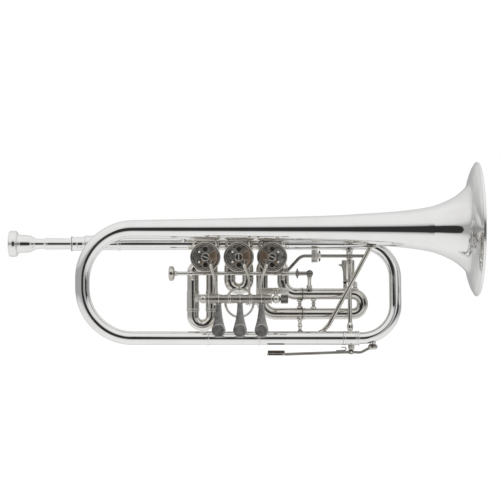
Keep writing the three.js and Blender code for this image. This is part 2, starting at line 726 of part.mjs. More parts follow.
// One rotary valve: casing, rotor, bearings, cap, front plate and stop arm round its own centre
function valveGroup(number, x, hand, legs, extra) {
  const group = new THREE.Group();
  group.name = `valve_${number}`;
  group.position.set(x, 0, 0);
  const upperPath = (side) => route([
    at(side * STUB_HALF, 0, LINE_Z), at(side * LINE_Z, 0, LINE_Z),
    at(side * LINE_Z * PORT_START_SHARE, 0, LINE_Z * PORT_START_SHARE),
  ], [PORT_BEND_R]);
  const outside = [
    turned(at(0, 0, 0), ALONG_Y, span(-CASING_HALF_DEPTH, CASING_HALF_DEPTH, CASING_R), VALVE_SIDES),
    rod(at(-STUB_HALF, 0, LINE_Z), at(STUB_HALF, 0, LINE_Z), MAIN_TUBE_R, TUBE_SIDES),
    ...legs.map((leg) => wholePath(legPath(leg.x, leg.endZ), leg.radius, TUBE_SIDES)),
  ];
  const inside = [
    turned(at(0, 0, 0), ALONG_Y, span(CASING_WALL_BACK_Y, CASING_HALF_DEPTH + GAP, CASING_BORE_R), VALVE_SIDES),
    turned(at(0, 0, 0), ALONG_Y, span(-CASING_HALF_DEPTH - GAP, 0, SPINDLE_R + GAP), ROD_SIDES),
    ...[-1, 1].map((side) => wholePath(upperPath(side), PORT_BORE_R, ROD_SIDES)),
    ...legs.map((leg) => wholePath(legPath(leg.x, leg.endZ), PORT_BORE_R, TUBE_SIDES)),
  ];
  for (const leg of legs) {
    if (leg.ferruleZ) {
      outside.push(rod(at(leg.x, 0, leg.ferruleZ), at(leg.x, 0, leg.endZ), FIRST_FERRULE_R, TUBE_SIDES));
    }
    if (leg.sleeveZ) {
      inside.push(rod(at(leg.x, 0, leg.sleeveZ), at(leg.x, 0, leg.endZ), leg.sleeveBore, TUBE_SIDES));
    }
  }
  if (extra) {
    outside.push(extra.outside);
    inside.push(extra.bore);
  }
  group.add(piece(`valve_${number}_casing`, cut(join(...outside), ...inside)));

  const rotorBody = turned(at(0, 0, 0), ALONG_Y, [
    [SPINDLE_FRONT_Y, 0], [SPINDLE_FRONT_Y, SPINDLE_R], [-ROTOR_HALF_DEPTH, SPINDLE_R],
    [-ROTOR_HALF_DEPTH, ROTOR_R], [ROTOR_HALF_DEPTH, ROTOR_R], [ROTOR_HALF_DEPTH, SPINDLE_R],
    [SPINDLE_BACK_Y, SPINDLE_R], [SPINDLE_BACK_Y, 0],
  ], VALVE_SIDES);
  const passage = (side) => bentRod([
    at(-PASSAGE_END_X, 0, side * PASSAGE_END_Z), at(0, 0, side * PASSAGE_MIDDLE_Z),
    at(PASSAGE_END_X, 0, side * PASSAGE_END_Z),
  ], [PASSAGE_BEND_R], PASSAGE_R);
  group.add(piece(`rotor_${number}`, cut(rotorBody, passage(1), passage(-1)), 'rotor_brass'));

  group.add(piece(`valve_${number}_rear_bearing`, turned(
    at(0, 0, 0), ALONG_Y,
    ring(BEARING_FRONT_Y, BEARING_BACK_Y, SPINDLE_R + GAP, BEARING_R), VALVE_SIDES,
  ), 'rotor_brass'));
  group.add(piece(`valve_${number}_back_cap`, turned(at(0, 0, 0), ALONG_Y, [
    [CASING_HALF_DEPTH + GAP, 0], [CASING_HALF_DEPTH + GAP, CAP_R], [CAP_BACK_Y - CAP_CHAMFER, CAP_R],
    [CAP_BACK_Y, CAP_R - CAP_CHAMFER], [CAP_BACK_Y, 0],
  ], VALVE_SIDES)));

  const plateBack = -CASING_HALF_DEPTH - GAP;
  const dish = turned(at(0, 0, 0), ALONG_Y, [
    [plateBack, SPINDLE_R + GAP], [plateBack, DISH_R], [DISH_RIM_Y, DISH_R],
    [DISH_RIM_Y, DISH_INNER_R], [DISH_FLOOR_Y, DISH_INNER_R], [DISH_FLOOR_Y, SPINDLE_R + GAP],
  ], VALVE_SIDES);
  const holes = [-1, 1].map((side) => rod(
    at(0, plateBack + GAP, side * DISH_HOLE_AT),
    at(0, DISH_FLOOR_Y - GAP, side * DISH_HOLE_AT), DISH_HOLE_R,
  ));
  const spot = (radius, angle, y) => at(
    hand * radius * Math.cos(rad(angle)), y, radius * Math.sin(rad(angle)),
  );
  const bumpers = [-BUMPER_DEG, BUMPER_DEG].map((angle) => rod(
    spot(BUMPER_AT, angle, DISH_FLOOR_Y + GAP), spot(BUMPER_AT, angle, BUMPER_FRONT_Y), BUMPER_R,
  ));
  group.add(piece(`valve_${number}_front_plate`, join(cut(dish, ...holes), ...bumpers)));

  const fanSteps = 2 * CURVE_SEGMENTS;
  const fanPoints = [[0, 0]];
  for (let k = 0; k <= fanSteps; k += 1) {
    const angle = STOP_FAN_FROM_DEG + ((STOP_FAN_TO_DEG - STOP_FAN_FROM_DEG) * k) / fanSteps;
    const place = spot(STOP_FAN_R, angle, 0);
    fanPoints.push([place.x, place.z]);
  }
  const fingerTip = spot(STOP_FINGER_REACH, STOP_FINGER_DEG, 0);
  const across = at(-fingerTip.z, 0, fingerTip.x).normalize().multiplyScalar(STOP_FINGER_HALF);
  const finger = outline([
    [across.x, across.z], [-across.x, -across.z],
    [fingerTip.x - across.x, fingerTip.z - across.z], [fingerTip.x + across.x, fingerTip.z + across.z],
  ]);
  const hub = turned(at(0, 0, 0), ALONG_Y, span(STOP_FRONT_Y, STOP_BACK_Y, STOP_HUB_R), VALVE_SIDES);
  const pin = rod(
    spot(STOP_PIN_AT, STOP_PIN_DEG, (STOP_FRONT_Y + STOP_BACK_Y) / 2),
    spot(STOP_PIN_AT, STOP_PIN_DEG, STOP_PIN_FRONT_Y), STOP_PIN_R,
  );
  const eye = turned(at(0, 0, 0), ALONG_Y, span(SPINDLE_FRONT_Y, 0, SPINDLE_R + GAP), ROD_SIDES);
  const stopArm = join(
    hub, frontPlate(outline(fanPoints), STOP_FRONT_Y, STOP_BACK_Y),
    frontPlate(finger, STOP_FRONT_Y, STOP_BACK_Y), pin,
  );
  group.add(piece(`stop_arm_${number}`, cut(stopArm, eye)));
  return group;
}

// A slide bow with thin legs that run up inside two sleeves
const slideLoop = (path, step, legR, tubeR, boreR) => [
  [0, legR], [step, legR], [step, tubeR], [path.length - step, tubeR],
  [path.length - step, legR], [path.length, legR], [path.length, boreR], [0, boreR],
];

function firstSlidePiece() {
  const left = -VALVE_PITCH + FIRST_LEFT;
  const right = -VALVE_PITCH + FIRST_RIGHT;
  const half = (right - left) / 2;
  const path = route([
    at(left, 0, FIRST_LEG_TOP_Z), at(left, 0, FIRST_BOW_BOTTOM_Z),
    at(right, 0, FIRST_BOW_BOTTOM_Z), at(right, 0, FIRST_LEG_TOP_Z),
  ], [half, half]);
  const step = FIRST_LEG_TOP_Z - FIRST_SLEEVE_END_Z + GAP;
  return piece('first_slide', sweep(
    path, slideLoop(path, step, SLIDE_LEG_R, SLIDE_TUBE_R, SLIDE_LEG_BORE_R), TUBE_SIDES,
  ));
}

// Second slide with the pull ring on its front
function secondSlidePieces() {
  const path = route([
    at(-SECOND_HALF, 0, SECOND_LEG_TOP_Z), at(-SECOND_HALF, 0, SECOND_BOW_BOTTOM_Z),
    at(SECOND_HALF, 0, SECOND_BOW_BOTTOM_Z), at(SECOND_HALF, 0, SECOND_LEG_TOP_Z),
  ], [SECOND_HALF, SECOND_HALF]);
  const step = SECOND_LEG_TOP_Z - SECOND_STUB_END_Z + GAP;
  const slide = sweep(
    path, slideLoop(path, step, SECOND_LEG_R, SECOND_TUBE_R, SECOND_LEG_BORE_R), TUBE_SIDES,
  );
  const torus = new THREE.TorusGeometry(RING_R, RING_WIRE_R, ROD_SIDES, 3 * ROD_SIDES);
  torus.rotateX(Math.PI / 2);
  torus.translate(RING_X, RING_Y, RING_Z);
  const foot = rod(
    at(RING_X, RING_Y, RING_Z + RING_R), at(RING_X, 0, RING_Z + RING_R), RING_STEM_R,
  );
  const ringSolid = cut(join(toSolid(torus), foot), wholePath(path, SECOND_TUBE_R + GAP, TUBE_SIDES));
  return [piece('second_slide', slide), piece('second_slide_ring', ringSolid)];
}

// Third slide: two fixed knuckles with inner tubes, and the moving bow over them
function thirdSlidePieces() {
  const right = VALVE_PITCH + THIRD_RIGHT;
  const left = VALVE_PITCH + THIRD_LEFT;
  const topZ = THIRD_STUB_END_Z - GAP;
  const knuckle = (x, z, bend, extra) => {
    const path = route([at(x, 0, topZ), at(x, 0, z), at(THIRD_INNER_END_X, 0, z)], [bend]);
    const step = path.length - (THIRD_INNER_END_X - THIRD_KNUCKLE_END_X);
    const outer = sweep(path, [
      [0, 0], [0, SLIDE_TUBE_R], [step, SLIDE_TUBE_R], [step, THIRD_INNER_R],
      [path.length, THIRD_INNER_R], [path.length, 0],
    ], TUBE_SIDES);
    const bore = sweep(path, [
      [-GAP, 0], [-GAP, THIRD_INNER_BORE_R], [path.length + GAP, THIRD_INNER_BORE_R],
      [path.length + GAP, 0],
    ], TUBE_SIDES);
    const whole = extra ? join(outer, extra.outside) : outer;
    return extra ? cut(whole, bore, extra.bore) : cut(whole, bore);
  };
  const upper = knuckle(right, THIRD_UPPER_Z, THIRD_UPPER_BEND_R, guideParts(right, right));
  const lower = knuckle(left, THIRD_LOWER_Z, THIRD_LOWER_BEND_R);

  const half = (THIRD_UPPER_Z - THIRD_LOWER_Z) / 2;
  const startX = THIRD_KNUCKLE_END_X + GAP;
  const path = route([
    at(startX, 0, THIRD_UPPER_Z), at(THIRD_BOW_X, 0, THIRD_UPPER_Z),
    at(THIRD_BOW_X, 0, THIRD_LOWER_Z), at(startX, 0, THIRD_LOWER_Z),
  ], [half, half]);
  const deep = THIRD_INNER_END_X - startX + GAP;
  const bore = sweep(path, [
    [-GAP, 0], [-GAP, THIRD_SLIDE_BORE_R], [deep, THIRD_SLIDE_BORE_R], [deep, THIRD_BOW_BORE_R],
    [path.length - deep, THIRD_BOW_BORE_R], [path.length - deep, THIRD_SLIDE_BORE_R],
    [path.length + GAP, THIRD_SLIDE_BORE_R], [path.length + GAP, 0],
  ], TUBE_SIDES);
  const brace = rod(
    at(THIRD_MOVING_BRACE_X, 0, THIRD_UPPER_Z), at(THIRD_MOVING_BRACE_X, 0, THIRD_LOWER_Z), THIRD_BRACE_R,
  );
  const nipple = rod(
    at(THIRD_NIPPLE_X, 0, THIRD_NIPPLE_FOOT_Z), at(THIRD_NIPPLE_X, 0, THIRD_NIPPLE_TOP_Z), THIRD_NIPPLE_R,
  );
  const nippleBore = rod(
    at(THIRD_NIPPLE_X, 0, THIRD_NIPPLE_FOOT_Z), at(THIRD_NIPPLE_X, 0, THIRD_NIPPLE_TOP_Z + GAP),
    THIRD_NIPPLE_BORE_R,
  );
  const lug = block(SMALL_KEY_LUG_X, SMALL_KEY_LUG_Y, SMALL_KEY_LUG_Z);
  const pin = rod(at(SMALL_KEY_X, 0, SMALL_KEY_Z), at(SMALL_KEY_X, SMALL_KEY_PIN_END_Y, SMALL_KEY_Z), SMALL_KEY_PIN_R);
  const slide = cut(
    join(wholePath(path, THIRD_SLIDE_R, TUBE_SIDES), brace, nipple, lug, pin), bore, nippleBore,
  );

  const [keyFront, keyBack] = SMALL_KEY_Y;
  const keyBarrel = turned(
    at(SMALL_KEY_X, 0, SMALL_KEY_Z), ALONG_Y, span(keyFront, keyBack, SMALL_KEY_BARREL_R), ROD_SIDES,
  );
  const keyBore = turned(
    at(SMALL_KEY_X, 0, SMALL_KEY_Z), ALONG_Y, span(0, keyBack + GAP, SMALL_KEY_BORE_R), ROD_SIDES,
  );
  const keyCup = rod(
    at(THIRD_NIPPLE_X, SMALL_KEY_CUP_Y, THIRD_NIPPLE_TOP_Z + GAP),
    at(THIRD_NIPPLE_X, SMALL_KEY_CUP_Y, THIRD_NIPPLE_TOP_Z + SMALL_KEY_CUP_DEEP), SMALL_KEY_CUP_R,
  );
  const key = cut(
    join(frontPlate(outline(SMALL_KEY_OUTLINE), keyFront, keyBack), keyBarrel, keyCup), keyBore,
  );
  return [
    piece('third_slide_upper_knuckle', upper), piece('third_slide_lower_knuckle', lower),
    piece('third_slide', slide), piece('third_slide_key', key),
  ];
}

// Braces that hold the third slide's tubes
function thirdBracePieces() {
  const upper = rod(at(0, 0, THIRD_UPPER_Z), at(THIRD_KNUCKLE_END_X, 0, THIRD_UPPER_Z), SLIDE_TUBE_R + GAP, TUBE_SIDES);
  const lower = rod(at(0, 0, THIRD_LOWER_Z), at(THIRD_KNUCKLE_END_X, 0, THIRD_LOWER_Z), SLIDE_TUBE_R + GAP, TUBE_SIDES);
  const sleeve = rod(
    at(0, BELL_Y, BOTTOM_Z), at(LOWER_SLEEVE_END_X, BELL_Y, BOTTOM_Z), BOTTOM_RADIUS + GAP, TUBE_SIDES,
  );
  const between = cut(
    rod(at(THIRD_BRACE_X, 0, THIRD_UPPER_Z), at(THIRD_BRACE_X, 0, THIRD_LOWER_Z), THIRD_BRACE_R),
    upper, lower,
  );
  const from = at(THIRD_BRACE_X, 0, THIRD_LOWER_Z);
  const to = at(THIRD_BRACE_X, BELL_Y, BOTTOM_Z);
  const long = from.distanceTo(to);
  const [beadStart, beadMiddle, beadEnd] = THIRD_STAY_BEAD_SHARES.map((share) => share * long);
  const stay = cut(sweep(route([from, to], []), [
    [0, 0], [0, THIRD_BRACE_R], [beadStart, THIRD_BRACE_R], [beadMiddle, THIRD_STAY_BEAD_R],
    [beadEnd, THIRD_BRACE_R], [long, THIRD_BRACE_R], [long, 0],
  ], ROD_SIDES), lower, sleeve);
  return [piece('third_slide_tube_brace', between), piece('third_slide_stay', stay)];
}

// Push rod for the third slide: knob, rod, collar, ball and a post on the upper leg
function pushRodPiece() {
  const shaft = turned(at(0, PUSH_Y, PUSH_Z), ALONG_X, [
    [PUSH_KNOB_X, 0], [PUSH_KNOB_X, PUSH_KNOB_R - PUSH_KNOB_EDGE],
    [PUSH_KNOB_X + PUSH_KNOB_EDGE, PUSH_KNOB_R], [PUSH_KNOB_BACK_X - PUSH_KNOB_EDGE, PUSH_KNOB_R],
    [PUSH_KNOB_BACK_X, PUSH_KNOB_R - PUSH_KNOB_EDGE], [PUSH_KNOB_BACK_X, PUSH_R],
    [PUSH_COLLAR_X, PUSH_R], [PUSH_COLLAR_X, PUSH_COLLAR_R], [PUSH_COLLAR_END_X, PUSH_COLLAR_R],
    [PUSH_COLLAR_END_X, PUSH_R], [PUSH_END_X, PUSH_R], [PUSH_END_X, 0],
  ], TUBE_SIDES);
  const head = at(PUSH_END_X, PUSH_Y, PUSH_Z);
  const foot = at(PUSH_END_X, 0, THIRD_UPPER_Z);
  const leg = rod(
    at(THIRD_KNUCKLE_END_X, 0, THIRD_UPPER_Z), at(THIRD_BOW_X, 0, THIRD_UPPER_Z), THIRD_SLIDE_R + GAP, TUBE_SIDES,
  );
  return piece('push_rod', cut(join(shaft, ball(head, PUSH_BALL_R, TUBE_SIDES), rod(head, foot, PUSH_POST_R)), leg));
}

// Lever axle with its thumb head, the two ball brackets and the flat springs in the drums
function axlePieces() {
  const axis = at(0, AXLE_Y, AXLE_Z);
  const axle = turned(axis, ALONG_X, [
    [AXLE_START_X, 0], [AXLE_START_X, AXLE_R], [THUMB_X, AXLE_R], [THUMB_X, THUMB_R],
    [THUMB_END_X, THUMB_R], [THUMB_END_X, 0],
  ], TUBE_SIDES);
  const bracket = (ballX, plateX, plateZ, tubeFront) => {
    const plateBack = -tubeFront - GAP;
    const plateFront = plateBack - BRACKET_PLATE;
    const centre = at(ballX, AXLE_Y, AXLE_Z);
    const arm = rod(centre, at(ballX, plateFront + BRACKET_PLATE / 2, (plateZ[0] + plateZ[1]) / 2), BRACKET_ARM_R);
    const bore = turned(axis, ALONG_X, span(ballX - 2 * BRACKET_BALL_R, ballX + 2 * BRACKET_BALL_R, AXLE_R + GAP), TUBE_SIDES);
    return cut(
      join(ball(centre, BRACKET_BALL_R, TUBE_SIDES), arm, block(plateX, [plateFront, plateBack], plateZ)),
      bore,
    );
  };
  const points = [];
  const count = Math.round(SPRING_TURNS * SPRING_POINTS_PER_TURN);
  for (const side of [-1, 1]) {
    for (let k = 0; k <= count; k += 1) {
      const step = side < 0 ? k : count - k;
      const angle = (2 * Math.PI * SPRING_TURNS * step) / count;
      const radius = SPRING_INNER_R + ((SPRING_OUTER_R - SPRING_INNER_R) * step) / count
        + (side * SPRING_THICK) / 2;
      points.push([radius * Math.cos(angle), radius * Math.sin(angle)]);
    }
  }
  const reach = DRUM_HALF - DRUM_CHEEK - GAP;
  const springs = DRUM_XS.map((x, i) => {
    const spring = piece(`lever_spring_${i + 1}`, sidePlate(outline(points), -reach, reach), 'spring_steel');
    spring.position.set(x, AXLE_Y, AXLE_Z);
    return spring;
  });
  return [
    piece('lever_axle', axle, 'dark_steel'),
    piece('axle_left_bracket', bracket(LEFT_BALL_X, LEFT_PLATE_X, LEFT_PLATE_Z, FIRST_FERRULE_R)),
    piece('axle_right_bracket', bracket(RIGHT_BALL_X, RIGHT_PLATE_X, RIGHT_PLATE_Z, SLIDE_TUBE_R)),
    ...springs,
  ];
}

// One lever: spring drum, paddle tilted outward, and a short arm to the link
function leverGroup(number) {
  const drumX = DRUM_XS[number - 1];
  const group = new THREE.Group();
  group.name = `lever_${number}_place`;
  group.position.set(drumX, AXLE_Y, AXLE_Z);
  const origin = at(0, 0, 0);
  const drum = turned(origin, ALONG_X, [
    [-DRUM_HALF, AXLE_R + GAP], [-DRUM_HALF, DRUM_R], [DRUM_HALF, DRUM_R], [DRUM_HALF, AXLE_R + GAP],
    [DRUM_HALF - DRUM_CHEEK, AXLE_R + GAP], [DRUM_HALF - DRUM_CHEEK, DRUM_INNER_R],
    [-DRUM_HALF + DRUM_CHEEK, DRUM_INNER_R], [-DRUM_HALF + DRUM_CHEEK, AXLE_R + GAP],
  ], TUBE_SIDES);
  const corner = rad(PADDLE_DISC_FROM_DEG);
  const shape = new THREE.Shape();
  shape.moveTo(-PADDLE_TOP_HALF, -PADDLE_TOP);
  shape.lineTo(PADDLE_TOP_HALF, -PADDLE_TOP);
  shape.quadraticCurveTo(
    PADDLE_WAIST_HALF, -PADDLE_WAIST_DROP,
    PADDLE_DISC_R * Math.cos(corner), PADDLE_DISC_R * Math.sin(corner) - PADDLE_DISC_DROP,
  );
  shape.absarc(0, -PADDLE_DISC_DROP, PADDLE_DISC_R, corner, Math.PI - corner, true);
  shape.quadraticCurveTo(-PADDLE_WAIST_HALF, -PADDLE_WAIST_DROP, -PADDLE_TOP_HALF, -PADDLE_TOP);
  const blade = frontPlate(shape, -PADDLE_THICK / 2, PADDLE_THICK / 2);
  const disc = turned(
    at(0, 0, -PADDLE_DISC_DROP), ALONG_Y, span(-PADDLE_THICK / 2 - PADDLE_DISC_RAISE, 0, PADDLE_DISC_FACE_R),
    MOUTHPIECE_SIDES,
  );
  const tilted = toSolid(toGeometry(join(blade, disc)).rotateX(-rad(PADDLE_TILT_DEG)));
  const eyeX = LINK_LOWER_XS[number - 1] - drumX;
  const armX = eyeX - LINK_EYE_HALF - GAP - LEVER_ARM_R;
  const tip = at(armX, LINK_Y - AXLE_Y, LEVER_PIN_Z - AXLE_Z);
  const arm = rod(at(armX, LEVER_ARM_ROOT, -LEVER_ARM_ROOT_DROP), tip, LEVER_ARM_R);
  const pin = rod(tip, at(eyeX + LINK_EYE_HALF + 2 * GAP, tip.y, tip.z), LEVER_PIN_R);
  group.add(piece(`lever_${number}`, join(drum, tilted, arm, ball(tip, LEVER_BOSS_R), pin), 'satin_silver'));
  return group;
}

// One link: an eye on the lever's pin, a rod, and a slotted eye round the stop arm's pin
function linkGroup(number, hand) {
  const eyeX = LINK_LOWER_XS[number - 1];
  const valveX = (number - 2) * VALVE_PITCH;
  const topX = valveX + hand * STOP_PIN_AT * Math.cos(rad(STOP_PIN_DEG)) - eyeX;
  const topZ = STOP_PIN_AT * Math.sin(rad(STOP_PIN_DEG)) - LEVER_PIN_Z;
  const group = new THREE.Group();
  group.name = `link_${number}_place`;
  group.position.set(eyeX, LINK_Y, LEVER_PIN_Z);
  const eye = turned(at(0, 0, 0), ALONG_X, ring(-LINK_EYE_HALF, LINK_EYE_HALF, LINK_EYE_BORE_R, LINK_EYE_R), TUBE_SIDES);
  const stadium = (left, right, half) => {
    const shape = new THREE.Shape();
    shape.absarc(topX + right - half, topZ, half, -Math.PI / 2, Math.PI / 2, false);
    shape.absarc(topX + left + half, topZ, half, Math.PI / 2, 1.5 * Math.PI, false);
    return shape;
  };
  const left = hand > 0 ? -LINK_SLOT_IN : -LINK_SLOT_OUT;
  const right = hand > 0 ? LINK_SLOT_OUT : LINK_SLOT_IN;
  const plate = frontPlate(
    stadium(left - LINK_RIM, right + LINK_RIM, LINK_SLOT_HALF + LINK_RIM), -LINK_PLATE_HALF, LINK_PLATE_HALF,
  );
  const slot = frontPlate(
    stadium(left, right, LINK_SLOT_HALF), -LINK_PLATE_HALF - GAP, LINK_PLATE_HALF + GAP,
  );
  const shaft = rod(
    at(0, 0, LINK_ROOT), at(topX, 0, topZ - LINK_SLOT_HALF - LINK_RIM / 2), LINK_ROD_R,
  );
  group.add(piece(`link_${number}`, cut(join(eye, shaft, plate), slot)));
  return group;
}

// The outside of the bell over part of its length, grown by the clearance, to shape what leans on it
function bellTool(fromX, toX) {
  const inside = BELL_OUTER.filter(([x]) => x > fromX && x < toX);
  const loop = inside.map(([x, r]) => [x, r + GAP]);
  return turned(at(0, BELL_Y, BELL_Z), ALONG_X, [
    [inside[0][0], 0], ...loop, [inside[inside.length - 1][0], 0],
  ], BELL_SIDES);
}

// Front braces: the long diagonal, the curved cross brace with its block, the wing nut and the bell stay
function bracePieces() {
  const foot = at(DIAGONAL_END_X, BELL_Y, DIAGONAL_END_Z);
  const knee = at(DIAGONAL_KNEE_X, BELL_Y, DIAGONAL_KNEE_Z);
  const towardKnee = knee.clone().sub(foot).normalize().multiplyScalar(DIAGONAL_FOOT_DROP);
  const sleeve = rod(
    at(0, BELL_Y, BOTTOM_Z), at(LOWER_SLEEVE_END_X, BELL_Y, BOTTOM_Z), BOTTOM_RADIUS + GAP, TUBE_SIDES,
  );
  const diagonal = cut(
    join(
      bentRod([at(DIAGONAL_TOP_X, BELL_Y, DIAGONAL_TOP_Z), knee, foot], [DIAGONAL_BEND_R], DIAGONAL_R),
      block(DIAGONAL_PLATE_X, [BELL_Y - DIAGONAL_PLATE_HALF, BELL_Y + DIAGONAL_PLATE_HALF], DIAGONAL_PLATE_Z),
      rod(foot, foot.clone().add(towardKnee), DIAGONAL_FOOT_R),
    ),
    sleeve, bellTool(DIAGONAL_TOOL_X[0], DIAGONAL_TOOL_X[1]),
  );
  const lineAt = (x) => at(x, CROSS_LINE_Y, CROSS_LINE_Z);
  const endY = BELL_Y + DIAGONAL_R + GAP + CROSS_R;
  const legX = VALVE_PITCH + THIRD_RIGHT;
  const leg = rod(at(legX, 0, 0), at(legX, 0, THIRD_STUB_END_Z - GUIDE_ARM_DROP), SLIDE_TUBE_R + GAP, TUBE_SIDES);
  const upper = rod(lineAtZ(0), lineAtZ(UPPER_SLEEVE_END_X), MAIN_TUBE_R + GAP, TUBE_SIDES);
  const [blockLeft, blockRight] = CROSS_BLOCK_X;
  const [blockFront, blockBack] = CROSS_BLOCK_Y;
  const socket = block(
    [blockLeft + CROSS_SOCKET, blockRight - CROSS_SOCKET],
    [blockFront + CROSS_SOCKET, blockBack - CROSS_SOCKET],
    [CROSS_BLOCK_Z[0] - GAP, CROSS_SOCKET_TOP_Z],
  );
  const cross = cut(
    join(
      bentRod([
        at(...CROSS_START), at(...CROSS_KNEE), at(...CROSS_CORNER), lineAt(CROSS_TURN_X),
        at(CROSS_END_X, endY, CROSS_LINE_Z),
      ], [CROSS_BEND_R, CROSS_BEND_R, CROSS_TURN_BEND_R], CROSS_R),
      block(CROSS_BLOCK_X, CROSS_BLOCK_Y, CROSS_BLOCK_Z),
    ),
    leg, upper, socket,
  );
  const [wingLeft, wingRight] = WING_X;
  const middle = (wingLeft + wingRight) / 2;
  const wing = (side) => block(
    [middle - WING_HALF, middle + WING_HALF],
    [CROSS_LINE_Y - WING_HALF, CROSS_LINE_Y + WING_HALF],
    side > 0
      ? [CROSS_LINE_Z + (WING_BORE_R + WING_HUB_R) / 2, CROSS_LINE_Z + WING_REACH]
      : [CROSS_LINE_Z - WING_REACH, CROSS_LINE_Z - (WING_BORE_R + WING_HUB_R) / 2],
  );
  const nut = join(
    turned(at(0, CROSS_LINE_Y, CROSS_LINE_Z), ALONG_X, ring(wingLeft, wingRight, WING_BORE_R, WING_HUB_R), TUBE_SIDES),
    wing(1), wing(-1),
  );
  const from = at(BELL_STAY_X, 0, LINE_Z);
  const to = at(BELL_STAY_X, BELL_Y, BELL_Z);
  const long = from.distanceTo(to);
  const [waistStart, waistMiddle, waistEnd] = BELL_STAY_WAIST_SHARES.map((share) => share * long);
  const stay = cut(
    sweep(route([from, to], []), [
      [0, 0], [0, BELL_STAY_R], [waistStart, BELL_STAY_R], [waistMiddle, BELL_STAY_WAIST_R],
      [waistEnd, BELL_STAY_R], [long, BELL_STAY_R], [long, 0],
    ], ROD_SIDES),
    rod(lineAtZ(LEADPIPE_X), lineAtZ(0), MAIN_TUBE_R + GAP, TUBE_SIDES),
    bellTool(BELL_OUTER[0][0] - GAP, BELL_STAY_TOOL_END_X),
  );
  return [
    piece('diagonal_brace', diagonal), piece('cross_brace', cross), piece('wing_nut', nut),
    piece('bell_stay', stay),
  ];
}

function lineAtZ(x) {
  return at(x, 0, LINE_Z);
}

